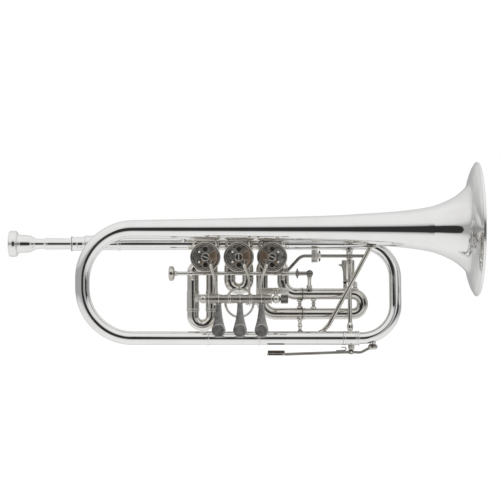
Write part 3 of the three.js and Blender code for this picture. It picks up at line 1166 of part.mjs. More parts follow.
// Main tuning slide with its brace, water key nipple and key
function tuningPieces() {
  const bottomLine = (x) => at(x, BELL_Y, BOTTOM_Z);
  const path = route([
    lineAtZ(TUNING_LEG_X), lineAtZ(TUNING_BOW_X), bottomLine(TUNING_BOW_X), bottomLine(TUNING_LEG_X),
  ], [TUNING_BOW_R, TUNING_BOW_R]);
  const upperStep = UPPER_SLEEVE_END_X + GAP - TUNING_LEG_X;
  const ferruleStart = path.length - (LOWER_FERRULE_END_X - TUNING_LEG_X);
  const ferruleEnd = path.length - (LOWER_SLEEVE_END_X + GAP - TUNING_LEG_X);
  const outer = sweep(path, [
    [0, 0], [0, UPPER_LEG_R], [upperStep, UPPER_LEG_R], [upperStep, BOW_LEG_R],
    [ferruleStart, BOW_LEG_R], [ferruleStart, LOWER_FERRULE_RING_R],
    [ferruleStart + LOWER_FERRULE_RING_LENGTH, LOWER_FERRULE_RING_R],
    [ferruleStart + LOWER_FERRULE_RING_LENGTH, LOWER_FERRULE_R],
    [ferruleEnd, LOWER_FERRULE_R], [ferruleEnd, BOW_LEG_R], [path.length, BOW_LEG_R],
    [path.length, 0],
  ], TUBE_SIDES);
  const bore = sweep(path, span(-GAP, path.length + GAP, BOW_LEG_BORE_R), TUBE_SIDES);
  const nippleAt = (z) => at(TUNING_NIPPLE_X, TUNING_NIPPLE_Y, z);
  const nipple = rod(nippleAt(TUNING_NIPPLE_Z), nippleAt(TUNING_NIPPLE_END_Z), TUNING_NIPPLE_R);
  const nippleBore = rod(
    nippleAt(TUNING_NIPPLE_Z), nippleAt(TUNING_NIPPLE_END_Z - GAP), TUNING_NIPPLE_BORE_R,
  );
  const bow = cut(join(outer, nipple), bore, nippleBore);

  const top = lineAtZ(TUNING_BRACE_X);
  const bottom = bottomLine(TUNING_BRACE_X);
  const long = top.distanceTo(bottom);
  const [collarStart, collarEnd] = TUNING_BRACE_COLLAR_SHARES.map((share) => share * long);
  const ferrule = rod(
    bottomLine(LOWER_SLEEVE_END_X), bottomLine(LOWER_FERRULE_END_X), LOWER_FERRULE_R + GAP, TUBE_SIDES,
  );
  const brace = cut(
    sweep(route([top, bottom], []), [
      [0, 0], [0, TUNING_BRACE_FOOT_R], [TUNING_BRACE_FOOT_SHARE * long, TUNING_BRACE_FOOT_R],
      [TUNING_BRACE_NECK_SHARE * long, TUNING_BRACE_R], [collarStart, TUNING_BRACE_R],
      [collarStart, TUNING_BRACE_FOOT_R], [collarEnd, TUNING_BRACE_FOOT_R],
      [collarEnd, TUNING_BRACE_R], [long, TUNING_BRACE_R], [long, 0],
    ], ROD_SIDES),
    rod(lineAtZ(UPPER_SLEEVE_END_X), lineAtZ(LOWER_FERRULE_END_X), BOW_LEG_R + GAP, TUBE_SIDES),
    ferrule,
  );

  const pivot = at(KEY_PIVOT_X, KEY_Y, KEY_PIVOT_Z);
  const barrelHalf = KEY_BLOCK_HALF;
  const lugInner = barrelHalf + GAP;
  const lug = (side) => block(
    KEY_BLOCK_X,
    side < 0
      ? [KEY_Y - lugInner - KEY_LUG, KEY_Y - lugInner]
      : [KEY_Y + lugInner, KEY_Y + lugInner + KEY_LUG],
    [KEY_PIVOT_Z - KEY_BARREL_R, KEY_BLOCK_Z[1]],
  );
  const bracket = cut(
    join(
      block(KEY_BLOCK_X, [KEY_Y - lugInner - KEY_LUG / 2, KEY_Y + lugInner + KEY_LUG / 2], [
        KEY_PIVOT_Z + KEY_BARREL_R + GAP, KEY_BLOCK_Z[1],
      ]),
      lug(-1), lug(1),
      turned(pivot, ALONG_Y, span(-KEY_PIN_REACH, KEY_PIN_REACH, KEY_PIN_R), ROD_SIDES),
    ),
    ferrule,
  );
  const cupAt = (z) => at(TUNING_NIPPLE_X, TUNING_NIPPLE_Y, z);
  const cup = turned(cupAt(0), ALONG_Z, [
    [KEY_CUP_BOTTOM_Z, 0], [KEY_CUP_BOTTOM_Z, KEY_CUP_R], [KEY_CUP_TOP_Z, KEY_CUP_R],
    [KEY_CUP_TOP_Z, KEY_PAD_R + GAP], [KEY_CUP_FLOOR_Z, KEY_PAD_R + GAP], [KEY_CUP_FLOOR_Z, 0],
  ], TUBE_SIDES);
  const [plateLeft, plateRight] = KEY_PLATE_X;
  const plate = block(KEY_PLATE_X, [KEY_Y - KEY_PLATE_HALF, KEY_Y + KEY_PLATE_HALF], KEY_PLATE_Z);
  const barrel = turned(pivot, ALONG_Y, span(-barrelHalf, barrelHalf, KEY_BARREL_R), TUBE_SIDES);
  const barrelBore = turned(pivot, ALONG_Y, span(-barrelHalf - GAP, barrelHalf + GAP, KEY_PIN_R + GAP), ROD_SIDES);
  const lever = cut(
    join(
      barrel, cup, plate,
      rod(at(plateRight - KEY_CORK_INSET / 2, KEY_Y, (KEY_PLATE_Z[0] + KEY_PLATE_Z[1]) / 2), pivot, KEY_ROD_R),
      bentRod([
        pivot, at(KEY_ARM_DIP_X, KEY_Y, KEY_ARM_DIP_Z),
        at(TUNING_NIPPLE_X - KEY_PAD_R, KEY_Y, KEY_ARM_END_Z), at(TUNING_NIPPLE_X, KEY_Y, KEY_ARM_END_Z),
      ], [KEY_ARM_BEND_R, KEY_ARM_BEND_R], KEY_ARM_R),
    ),
    barrelBore,
  );
  const pad = rod(cupAt(KEY_CUP_FLOOR_Z + GAP), cupAt(TUNING_NIPPLE_END_Z - GAP), KEY_PAD_R, TUBE_SIDES);
  const cork = block(
    [plateLeft + KEY_CORK_INSET, plateRight - KEY_CORK_INSET],
    [KEY_Y - KEY_PLATE_HALF + KEY_CORK_INSET, KEY_Y + KEY_PLATE_HALF - KEY_CORK_INSET],
    [KEY_PLATE_Z[1] + GAP, KEY_CORK_TOP_Z],
  );
  const spring = bentRod(
    KEY_SPRING_PATH.map(([x, z]) => at(x, KEY_Y, z)), [KEY_SPRING_BEND_R, KEY_SPRING_BEND_R], KEY_SPRING_R,
    ROD_SIDES,
  );
  return [
    piece('tuning_bow', bow), piece('tuning_slide_brace', brace),
    piece('water_key_bracket', bracket), piece('water_key_lever', lever),
    piece('water_key_pad', pad, 'cork'), piece('water_key_cork', cork, 'cork'),
    piece('water_key_spring', spring, 'spring_steel'),
  ];
}

const trumpet = new THREE.Group();
trumpet.name = 'rotary_valve_trumpet';

const firstLegs = [
  {
    x: FIRST_LEFT, endZ: FIRST_SLEEVE_END_Z, radius: SLIDE_TUBE_R, ferruleZ: FIRST_FERRULE_Z,
    sleeveZ: FIRST_SLEEVE_STEP_Z, sleeveBore: SLIDE_BORE_R,
  },
  {
    x: FIRST_RIGHT, endZ: FIRST_SLEEVE_END_Z, radius: SLIDE_TUBE_R, ferruleZ: FIRST_FERRULE_Z,
    sleeveZ: FIRST_SLEEVE_STEP_Z, sleeveBore: SLIDE_BORE_R,
  },
];
const secondLegs = [-1, 1].map((side) => ({
  x: side * SECOND_HALF, endZ: SECOND_STUB_END_Z, radius: SECOND_TUBE_R,
}));
const thirdLegs = [THIRD_LEFT, THIRD_RIGHT].map((x) => ({
  x, endZ: THIRD_STUB_END_Z, radius: SLIDE_TUBE_R,
}));
const firstGuide = guideParts(FIRST_GUIDE_X + VALVE_PITCH, FIRST_LEFT);

trumpet.add(
  ...bellPieces(), ...bottomPieces(), ...linePieces(),
  valveGroup(1, -VALVE_PITCH, 1, firstLegs, firstGuide),
  valveGroup(2, 0, 1, secondLegs),
  valveGroup(3, VALVE_PITCH, -1, thirdLegs),
  firstSlidePiece(), ...secondSlidePieces(), ...thirdSlidePieces(), ...thirdBracePieces(),
  pushRodPiece(), ...axlePieces(),
  leverGroup(1), leverGroup(2), leverGroup(3),
  linkGroup(1, 1), linkGroup(2, 1), linkGroup(3, -1),
  ...bracePieces(), ...tuningPieces(),
);

export default trumpet;
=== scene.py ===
import math

import bmesh
import bpy
from mathutils import Matrix, Vector


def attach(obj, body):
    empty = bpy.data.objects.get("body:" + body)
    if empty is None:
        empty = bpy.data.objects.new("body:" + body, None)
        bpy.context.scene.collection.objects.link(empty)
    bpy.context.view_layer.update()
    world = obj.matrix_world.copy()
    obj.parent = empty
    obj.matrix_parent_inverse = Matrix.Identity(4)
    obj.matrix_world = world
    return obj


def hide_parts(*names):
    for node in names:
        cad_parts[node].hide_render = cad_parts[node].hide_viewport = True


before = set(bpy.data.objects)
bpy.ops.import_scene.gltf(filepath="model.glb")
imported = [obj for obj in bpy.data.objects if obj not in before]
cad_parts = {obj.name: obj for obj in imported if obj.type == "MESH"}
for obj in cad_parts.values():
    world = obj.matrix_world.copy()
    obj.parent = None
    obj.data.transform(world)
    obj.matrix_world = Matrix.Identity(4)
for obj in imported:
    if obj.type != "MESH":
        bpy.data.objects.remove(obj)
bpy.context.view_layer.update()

# Sizes are written in millimetres, as on a maker's drawing, and become metres in the mesh
MM = 0.001
TINY = 1e-6
X, Y, Z = Vector((1, 0, 0)), Vector((0, 1, 0)), Vector((0, 0, 1))
WHITE = (1, 1, 1, 1)
scene = bpy.context.scene

# Camera, at the angle and distance of the photograph, in metres
CAMERA_AT = (0.0113, -1.78, 0.007)
HALF_VIEW_DEG, SENSOR_WIDTH = 8.07, 36
NEAREST, FARTHEST = 0.05, 20


def place_camera():
    data = bpy.data.cameras.new("camera")
    data.sensor_width = SENSOR_WIDTH
    data.lens = SENSOR_WIDTH / 2 / math.tan(math.radians(HALF_VIEW_DEG))
    data.clip_start, data.clip_end = NEAREST, FARTHEST
    camera = bpy.data.objects.new("camera", data)
    scene.collection.objects.link(camera)
    camera.location = CAMERA_AT
    camera.rotation_euler = (math.radians(90), 0, 0)
    scene.camera = camera


# Node trees, as the finishes, the repeated forms and the studio use them
NODE_STEP = 200


def feed(value):
    """A node stands for its own result, and a node with a name for that output of it."""
    if isinstance(value, bpy.types.Node):
        return next(output for output in value.outputs if output.enabled)
    if isinstance(value, tuple) and isinstance(value[0], bpy.types.Node):
        return value[0].outputs[value[1]]
    return value


def set_inputs(node, inputs):
    """Gives each input, by its name or place, a plain value or a link from another node."""
    for key, value in inputs.items():
        named = [socket for socket in node.inputs if socket.enabled and socket.name == key]
        socket, value = named[0] if named else node.inputs[key], feed(value)
        if isinstance(value, bpy.types.NodeSocket):
            node.id_data.links.new(value, socket)
        else:
            socket.default_value = value


def add_node(tree, kind, inputs=None, **settings):
    """A new node, to the right of those already there."""
    node = tree.nodes.new(kind)
    node.location = (NODE_STEP * len(tree.nodes), 0)
    for key, value in settings.items():
        setattr(node, key, value)
    set_inputs(node, inputs or {})
    return node


def calculate(tree, operation, *values):
    return add_node(tree, "ShaderNodeMath", dict(enumerate(values)), operation=operation)


def blend(tree, share, first, second, kind="RGBA", **settings):
    inputs = {"Factor": share, "A": first, "B": second}
    return add_node(tree, "ShaderNodeMix", inputs, data_type=kind, **settings)


def add_sockets(tree, side, rows):
    for name, kind, value in rows:
        socket = tree.interface.new_socket(name=name, in_out=side, socket_type="NodeSocket" + kind)
        if value is not None:
            socket.default_value = value


def new_material(name):
    material = bpy.data.materials.new(name)
    material.use_nodes = True
    return material, material.node_tree


# Finishes. Each noise has its scale, detail and roughness
CLOUD_NOISE, SMEAR_NOISE, FINE_NOISE = (55, 5, 0.6), (240, 3, 0.5), (1900, 2, 0.5)
CLOUD_FROM, CLOUD_TO = 0.46, 0.72
SMEAR_FROM, SMEAR_TO = 0.4, 0.75
GRAIN_DEPTH = 0.00005


def handling_group():
    """What every finish has: clouds of tarnish, smears of handling, and a fine grain."""
    tree = bpy.data.node_groups.new("polish_and_handling", "ShaderNodeTree")
    add_sockets(tree, "INPUT", (
        ("Coat", "Color", (0.9, 0.9, 0.9, 1)), ("Tarnish", "Color", (0.5, 0.45, 0.38, 1)),
        ("Tarnish Amount", "Float", 0.15), ("Smooth", "Float", 0.04),
        ("Worn", "Float", 0.12), ("Bump", "Float", 0.02),
    ))
    add_sockets(tree, "OUTPUT", (
        ("Color", "Color", None), ("Roughness", "Float", None), ("Normal", "Vector", None)))
    given = add_node(tree, "NodeGroupInput")
    place = add_node(tree, "ShaderNodeTexCoord")
    cloud, smear, fine = [
        add_node(tree, "ShaderNodeTexNoise", {
            "Vector": (place, "Object"), "Scale": scale, "Detail": detail, "Roughness": roughness})
        for scale, detail, roughness in (CLOUD_NOISE, SMEAR_NOISE, FINE_NOISE)
    ]
    patches = add_node(tree, "ShaderNodeMapRange", {
        "Value": (cloud, "Fac"), "From Min": CLOUD_FROM, "From Max": CLOUD_TO})
    prints = add_node(tree, "ShaderNodeMapRange", {
        "Value": (smear, "Fac"), "From Min": SMEAR_FROM, "From Max": SMEAR_TO})
    amount = calculate(tree, "MULTIPLY", patches, (given, "Tarnish Amount"))
    bump = add_node(tree, "ShaderNodeBump", {
        "Distance": GRAIN_DEPTH, "Height": (fine, "Fac"), "Strength": (given, "Bump")})
    add_node(tree, "NodeGroupOutput", {
        "Color": blend(tree, amount, (given, "Coat"), (given, "Tarnish")),
        "Roughness": blend(tree, prints, (given, "Smooth"), (given, "Worn"), "FLOAT"),
        "Normal": bump,
    })
    return tree


HANDLING = handling_group()


def metal(name, coat, tarnish, amount, smooth, worn, bump=0.02, metallic=1.0):
    material, tree = new_material(name)
    group = add_node(tree, "ShaderNodeGroup", {
        "Coat": (*coat, 1), "Tarnish": (*tarnish, 1), "Tarnish Amount": amount,
        "Smooth": smooth, "Worn": worn, "Bump": bump}, node_tree=HANDLING)
    set_inputs(tree.nodes["Principled BSDF"], {
        "Metallic": metallic, "Base Color": (group, "Color"),
        "Roughness": (group, "Roughness"), "Normal": (group, "Normal")})
    material.diffuse_color = (*coat, 1)
    return material


SILVER = metal("polished_silver", (0.785, 0.784, 0.779), (0.66, 0.63, 0.58), 0.25, 0.03, 0.08)
WORK_SILVER = metal("valve_silver", (0.73, 0.715, 0.68), (0.47, 0.41, 0.33), 0.5, 0.05, 0.14)
DRUM = metal("drum_silver", (0.32, 0.305, 0.285), (0.2, 0.17, 0.14), 0.5, 0.1, 0.2, 0.05)
RIM = metal("dish_rim_silver", (0.6, 0.575, 0.535), (0.34, 0.3, 0.25), 0.5, 0.14, 0.26, 0.05)
SATIN = metal("satin_silver", (0.5, 0.495, 0.475), (0.34, 0.32, 0.29), 0.4, 0.26, 0.4, 0.2)
SLIDE = metal("slide_silver", (0.62, 0.605, 0.575), (0.4, 0.35, 0.29), 0.5, 0.06, 0.16, 0.05)
DISH = metal("dish_silver", (0.56, 0.53, 0.49), (0.27, 0.235, 0.21), 0.5, 0.26, 0.42, 0.12)
FAN = metal("stop_arm_bronze", (0.6, 0.455, 0.33), (0.36, 0.26, 0.18), 0.5, 0.28, 0.42, 0.1)
BRUSHED = metal("brushed_silver", (0.86, 0.835, 0.78), (0.55, 0.49, 0.4), 0.35, 0.36, 0.46, 0.1)
BRASS = metal("bare_brass", (0.62, 0.46, 0.22), (0.34, 0.22, 0.1), 0.5, 0.12, 0.3, 0.1)
STEEL = metal("spring_steel", (0.55, 0.56, 0.58), (0.3, 0.28, 0.26), 0.4, 0.16, 0.3, 0.1)
DARK = metal("dark_knurl", (0.2, 0.19, 0.175), (0.1, 0.085, 0.07), 0.5, 0.22, 0.42, 0.2)
# Near-black painted shade, for the disc seen through the dish's holes and the gap round the stop arm's hub
PAINTED_HOLE_SHADE = metal("painted_hole_shade", (0.012, 0.011, 0.01), (0.03, 0.025, 0.02), 0.5, 0.5, 0.7, 0.1, 0.0)
CORK = metal("dark_cork", (0.085, 0.06, 0.042), (0.03, 0.02, 0.014), 0.9, 0.8, 0.95, 0.8, 0.0)


# How nearly a path may start along Y and still take Y as its guide; an arc's step and fewest steps
STEEP, ARC_STEP_DEG, ARC_STEPS = 0.87, 5, 4


class Path:
    """Straight runs and true arcs through corner points, with a direction to measure turns from."""

    def __init__(self, corners, bends=()):
        corners = [Vector(c) for c in corners]
        self.runs, self.marks, self.length = [], [], 0.0
        start = corners[0].copy()
        first = (corners[1] - start).normalized()
        guide = Y if abs(first.y) < STEEP else Z
        normal = (guide - first * guide.dot(first)).normalized()
        for i in range(1, len(corners)):
            inward = (corners[i] - corners[i - 1]).normalized()
            last = i == len(corners) - 1
            outward = inward if last else (corners[i + 1] - corners[i]).normalized()
            turn = 0 if last else inward.angle(outward)
            radius = 0 if last else bends[i - 1]
            reach = radius * math.tan(turn / 2)
            end = corners[i] - inward * reach
            run = (end - start).length
            self.runs.append((self.length, start.copy(), inward, normal.copy(), None, None, 0))
            self.length += run
            self.marks.append(self.length)
            if not last:
                axis = inward.cross(outward).normalized()
                centre = end + axis.cross(inward) * radius
                self.runs.append((self.length, end.copy(), inward, normal.copy(), axis, centre, radius))
                steps = max(ARC_STEPS, math.ceil(math.degrees(turn) / ARC_STEP_DEG))
                self.marks += [self.length + radius * turn * k / steps for k in range(1, steps + 1)]
                self.length += radius * turn
                normal = Matrix.Rotation(turn, 3, axis) @ normal
                start = corners[i] + outward * reach

    def at(self, s):
        """The point at a length along the path, with its tangent and normal."""
        run = self.runs[0]
        for other in self.runs:
            if s >= other[0] - TINY:
                run = other
        begin, start, tangent, normal, axis, centre, radius = run
        if axis is None:
            return start + tangent * (s - begin), tangent, normal
        spin = Matrix.Rotation((s - begin) / radius, 3, axis)
        return centre + spin @ (start - centre), spin @ tangent, spin @ normal


# A profile is a loop of (place along the axis, radius) pairs, as a turner draws it.
# A corner flatter than this stays as it is, and a round one takes at most this share of a side
FLAT_CORNER_DEG, CORNER_SHARE = 165, 0.45


def soft(loop, radius=0.3, steps=3):
    """Rounds the corners of a profile, so that each ring and edge catches the light."""
    made, flat = [], math.radians(FLAT_CORNER_DEG)
    for i, point in enumerate(loop):
        here = Vector(point)
        before, after = Vector(loop[i - 1]), Vector(loop[(i + 1) % len(loop)])
        a, b = before - here, after - here
        if here.y == 0 or min(a.length, b.length) < TINY or a.angle(b) > flat:
            made.append((here.x, here.y))
            continue
        near = here + a.normalized() * min(radius, a.length * CORNER_SHARE)
        far = here + b.normalized() * min(radius, b.length * CORNER_SHARE)
        for k in range(steps + 1):
            t = k / steps
            p = near * (1 - t) ** 2 + here * 2 * t * (1 - t) + far * t ** 2
            made.append((p.x, p.y))
    return made


def solid(points, radius=0.3, core=0):
    """The soft profile of a turned form with flat ends, down to its axis or to a bore."""
    return soft([(points[0][0], core), *points, (points[-1][0], core)], radius)


def mirrored(points, length=0):
    """Half a profile, and the same again from the other end of a length."""
    return points + [(length - x, r) for x, r in reversed(points)]


def bar(length, radius, start=0.0):
    return [(start, 0), (start, radius), (start + length, radius), (start + length, 0)]


def ring(start, end, inner, outer):
    return [(start, inner), (start, outer), (end, outer), (end, inner)]


def smooth_curve(points, step):
    """A monotone smooth curve through (x, r) points, sampled about every step."""
    xs, rs = zip(*points)
    slopes = [(rs[i + 1] - rs[i]) / (xs[i + 1] - xs[i]) for i in range(len(xs) - 1)]
    ends = [slopes[0]]
    for a, b in zip(slopes, slopes[1:]):
        ends.append(0 if a * b <= 0 else 2 * a * b / (a + b))
    ends.append(slopes[-1])
    made = []
    for i in range(len(xs) - 1):
        width = xs[i + 1] - xs[i]
        count = max(2, int(math.hypot(width, rs[i + 1] - rs[i]) / step))
        for k in range(count):
            t = k / count
            h00, h10 = 2 * t ** 3 - 3 * t ** 2 + 1, t ** 3 - 2 * t ** 2 + t
            h01, h11 = -2 * t ** 3 + 3 * t ** 2, t ** 3 - t ** 2
            bend = h10 * width * ends[i] + h11 * width * ends[i + 1]
            made.append((xs[i] + width * t, h00 * rs[i] + h01 * rs[i + 1] + bend))
    made.append((xs[-1], rs[-1]))
    return made


def offset_inward(points, distance):
    """The same curve, nearer to its axis by a wall."""
    made = []
    for i, point in enumerate(points):
        before, after = points[max(0, i - 1)], points[min(len(points) - 1, i + 1)]
        along, rise = after[0] - before[0], after[1] - before[1]
        size = math.hypot(along, rise)
        made.append((point[0] + distance * rise / size, point[1] - distance * along / size))
    return made


# Rings less than a gap apart are one; a long face gets a ring near each end, which keeps it flat
RING_GAP, LONG_FACE, FACE_EDGE = 0.02, 1.4, 0.16
# How finely the soft edges of flat outlines and of blocks are cut
OUTLINE_STEPS, EDGE_STEPS = 2, 3
ROD_EDGE = 0.25
WELD = 1e-7
FRAME = "trumpet_frame"


class Piece:
    """The shells of one piece, each with its material's place in the list, made into one mesh."""

    def __init__(self):
        self.verts, self.faces, self.marks = [], [], []

    def shell(self, verts, faces, material=0):
        base = len(self.verts)
        self.verts += [Vector(v) for v in verts]
        self.faces += [[base + i for i in face] for face in faces]
        self.marks += [material] * len(faces)
        return self

    def sweep(self, path, loop, sides=40, material=0):
        rings = []
        for i, (s, r) in enumerate(loop):
            s2, r2 = loop[(i + 1) % len(loop)]
            rings.append((s, r))
            if r == 0 and r2 == 0:
                continue
            low, high = min(s, s2) + RING_GAP, max(s, s2) - RING_GAP
            shares = [(m - s) / (s2 - s) for m in path.marks if low < m < high]
            long = math.hypot(s2 - s, r2 - r)
            if long > LONG_FACE and r > 0:
                shares.append(FACE_EDGE / long)
            if long > LONG_FACE and r2 > 0:
                shares.append(1 - FACE_EDGE / long)
            last = 0
            for share in sorted(shares):
                if (share - last) * long > RING_GAP:
                    rings.append((s + (s2 - s) * share, r + (r2 - r) * share))
                    last = share
        verts, starts = [], []
        for s, r in rings:
            point, tangent, normal = path.at(s)
            side = tangent.cross(normal)
            starts.append(len(verts))
            for k in range(1 if r == 0 else sides):
                angle = math.tau * k / sides
                verts.append(point + normal * (r * math.cos(angle)) + side * (r * math.sin(angle)))
        faces = []
        for i, (_, r) in enumerate(rings):
            j = (i + 1) % len(rings)
            r2 = rings[j][1]
            for k in range(sides):
                n = (k + 1) % sides
                a, b, c, d = starts[i] + k, starts[i] + n, starts[j] + k, starts[j] + n
                if r > 0 and r2 > 0:
                    faces.append([a, b, d, c])
                elif r > 0:
                    faces.append([a, b, starts[j]])
                elif r2 > 0:
                    faces.append([starts[i], d, c])
        return self.shell(verts, faces, material)

    def turn(self, origin, direction, loop, sides=48, material=0):
        origin = Vector(origin)
        return self.sweep(Path([origin, origin + direction]), loop, sides, material)

    def bent(self, corners, bends, radius, sides=24):
        path = Path(corners, bends)
        return self.sweep(path, soft(bar(path.length, radius), ROD_EDGE), sides)

    def ball(self, centre, radius, sides=32, material=0):
        steps = sides // 2
        loop = []
        for k in range(steps + 1):
            angle = math.pi * k / steps
            loop.append((-radius * math.cos(angle), 0 if k in (0, steps) else radius * math.sin(angle)))
        return self.turn(centre, X, loop, sides, material)

    def flat(self, outlines, thickness, place, bevel=0.2, material=0):
        """Outlines in a plane, the first the edge and the rest holes, given a thickness and soft edges."""
        data = bpy.data.curves.new("outline", "CURVE")
        data.dimensions = "2D"
        data.fill_mode = "BOTH"
        data.extrude = thickness / 2 - bevel
        data.bevel_depth = bevel
        data.offset = -bevel
        data.bevel_resolution = OUTLINE_STEPS
        for points in outlines:
            spline = data.splines.new("POLY")
            spline.points.add(len(points) - 1)
            for point, (x, y) in zip(spline.points, points):
                point.co = (x, y, 0, 1)
            spline.use_cyclic_u = True
        shape = bpy.data.objects.new("outline", data)
        scene.collection.objects.link(shape)
        mesh = bpy.data.meshes.new_from_object(shape.evaluated_get(bpy.context.evaluated_depsgraph_get()))
        verts = [place @ v.co for v in mesh.vertices]
        faces = [list(p.vertices) for p in mesh.polygons]
        bpy.data.objects.remove(shape)
        bpy.data.curves.remove(data)
        bpy.data.meshes.remove(mesh)
        return self.shell(verts, faces, material)

    def block(self, low, high, bevel=0.3, material=0):
        low, high = Vector(low), Vector(high)
        made = bmesh.new()
        bmesh.ops.create_cube(made, size=1)
        size, middle = high - low, (high + low) / 2
        for v in made.verts:
            v.co = Vector((v.co.x * size.x, v.co.y * size.y, v.co.z * size.z)) + middle
        bmesh.ops.bevel(
            made, geom=list(made.edges), offset=bevel, segments=EDGE_STEPS, profile=0.5, affect="EDGES")
        made.verts.index_update()
        faces = [[v.index for v in f.verts] for f in made.faces]
        self.shell([v.co for v in made.verts], faces, material)
        made.free()
        return self

    def moved(self, matrix, since=0):
        """Moves what was made since a vertex, or all of it."""
        for i in range(since, len(self.verts)):
            self.verts[i] = matrix @ self.verts[i]

    def done(self, name, materials, *nodes, body=FRAME, slot="silver", sharp=32, extra=()):
        """Makes the mesh and hands the piece over, in place of these nodes of the CAD."""
        mesh = bpy.data.meshes.new(name)
        mesh.from_pydata([tuple(v * MM) for v in self.verts], [], self.faces)
        for material in materials if isinstance(materials, list) else [materials]:
            mesh.materials.append(material)
        mesh.polygons.foreach_set("material_index", self.marks)
        work = bmesh.new()
        work.from_mesh(mesh)
        bmesh.ops.remove_doubles(work, verts=work.verts, dist=WELD)
        bmesh.ops.recalc_face_normals(work, faces=work.faces)
        work.to_mesh(mesh)
        work.free()
        for other in extra:
            join_mesh(mesh, other)
        mesh.polygons.foreach_set("use_smooth", [True] * len(mesh.polygons))
        mesh.set_sharp_from_angle(angle=math.radians(sharp))
        mesh.update()
        piece = bpy.data.objects.new(name, mesh)
        scene.collection.objects.link(piece)
        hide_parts(*nodes)
        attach(piece, body)


def join_mesh(mesh, other):
    """Adds a mesh that Geometry Nodes made to another mesh, with its materials."""
    shift = []
    for material in other.materials:
        if material is not None and mesh.materials.find(material.name) < 0:
            mesh.materials.append(material)
        shift.append(max(0, mesh.materials.find(material.name)) if material else 0)
    work = bmesh.new()
    work.from_mesh(mesh)
    start = len(work.faces)
    work.from_mesh(other)
    work.faces.ensure_lookup_table()
    for face in work.faces[start:]:
        face.material_index = shift[face.material_index] if shift else 0
    work.to_mesh(mesh)
    work.free()


def facing_front(depth, x=0, z=0):
    """Puts a flat outline in the plane of X and Z at a depth in Y."""
    return Matrix.Translation((x, depth, z)) @ Matrix.Rotation(math.radians(90), 4, "X")


def on_circle(radius, degrees, x=0, y=0, hand=1):
    """A point of a circle round (x, y), which is mirrored in X where the hand is -1."""
    angle = math.radians(degrees)
    return x + hand * radius * math.cos(angle), y + radius * math.sin(angle)


def circle(radius, x=0.0, y=0.0, steps=40, start=0, end=360):
    count = steps if end - start >= 360 else steps + 1
    return [on_circle(radius, start + (end - start) * k / steps, x, y) for k in range(count)]


# Node trees for what repeats: ridges round a rim and rings in a row
def start_tree(name, sockets):
    tree = bpy.data.node_groups.new(name, "GeometryNodeTree")
    add_sockets(tree, "OUTPUT", (("Geometry", "Geometry", None),))
    add_sockets(tree, "INPUT", sockets)
    return tree, add_node(tree, "NodeGroupInput")


def end_tree(tree, given, points, instance, rotation=(0, 0, 0)):
    place = add_node(tree, "GeometryNodeInstanceOnPoints", {
        "Points": points, "Instance": instance, "Rotation": rotation})
    real = add_node(tree, "GeometryNodeRealizeInstances", {"Geometry": place})
    paint = add_node(tree, "GeometryNodeSetMaterial", {
        "Geometry": real, "Material": (given, "Material")})
    add_node(tree, "NodeGroupOutput", {"Geometry": paint})
    return tree


RIDGE_SIDES, HOOP_STEPS, WIRE_SIDES = 6, 64, 12


def ridge_tree():
    """Narrow ridges on a round rim, along its axis, or turned by a lean for a diamond knurl."""
    tree, given = start_tree("ridges_round_a_rim", (
        ("Count", "Int", 48), ("Radius", "Float", 0.01), ("Length", "Float", 0.003),
        ("Width", "Float", 0.0004), ("Lean", "Float", 0.0), ("Material", "Material", None),
    ))
    rim = add_node(tree, "GeometryNodeMeshCircle", {
        "Vertices": (given, "Count"), "Radius": (given, "Radius")})
    size = add_node(tree, "ShaderNodeCombineXYZ", {
        "X": (given, "Width"), "Y": (given, "Width"), "Z": (given, "Length")})
    ridge = add_node(tree, "GeometryNodeMeshCylinder", {
        "Vertices": RIDGE_SIDES, "Radius": 1.0, "Depth": 1.0})
    shaped = add_node(tree, "GeometryNodeTransform", {"Geometry": ridge, "Scale": size})
    index = add_node(tree, "GeometryNodeInputIndex")
    share = calculate(tree, "DIVIDE", index, (given, "Count"))
    turn = calculate(tree, "MULTIPLY", share, math.tau)
    spin = add_node(tree, "ShaderNodeCombineXYZ", {"X": (given, "Lean"), "Z": turn})
    return end_tree(tree, given, rim, shaped, spin)


def ring_row_tree():
    """Equal round wire rings, threaded on one straight line."""
    tree, given = start_tree("rings_in_a_row", (
        ("Count", "Int", 3), ("Pitch", "Float", 0.01), ("Radius", "Float", 0.005),
        ("Wire", "Float", 0.0005), ("Material", "Material", None),
    ))
    step = add_node(tree, "ShaderNodeCombineXYZ", {"Z": (given, "Pitch")})
    row = add_node(tree, "GeometryNodeMeshLine", {
        "Count": (given, "Count"), "Offset": step}, mode="OFFSET")
    path = add_node(tree, "GeometryNodeCurvePrimitiveCircle", {
        "Resolution": HOOP_STEPS, "Radius": (given, "Radius")})
    section = add_node(tree, "GeometryNodeCurvePrimitiveCircle", {
        "Resolution": WIRE_SIDES, "Radius": (given, "Wire")})
    hoop = add_node(tree, "GeometryNodeCurveToMesh", {"Curve": path, "Profile Curve": section})
    return end_tree(tree, given, row, hoop)


RIDGES, RING_ROW = ridge_tree(), ring_row_tree()


def grow(tree, material, origin, axis, **values):
    """Runs a node tree with these inputs, in metres, and stands its mesh at a point along an axis."""
    blank = bpy.data.meshes.new("blank")
    carrier = bpy.data.objects.new("carrier", blank)
    scene.collection.objects.link(carrier)
    work = carrier.modifiers.new("repeat", "NODES")
    work.node_group = tree
    values["Material"] = material
    for item in tree.interface.items_tree:
        if item.in_out == "INPUT" and item.name in values:
            work[item.identifier] = values[item.name]
    bpy.context.view_layer.update()
    shape = carrier.evaluated_get(bpy.context.evaluated_depsgraph_get())
    mesh = bpy.data.meshes.new_from_object(shape)
    turn = Z.rotation_difference(Vector(axis)).to_matrix().to_4x4()
    mesh.transform(Matrix.Translation(Vector(origin) * MM) @ turn)
    bpy.data.objects.remove(carrier)
    bpy.data.meshes.remove(blank)
    return mesh


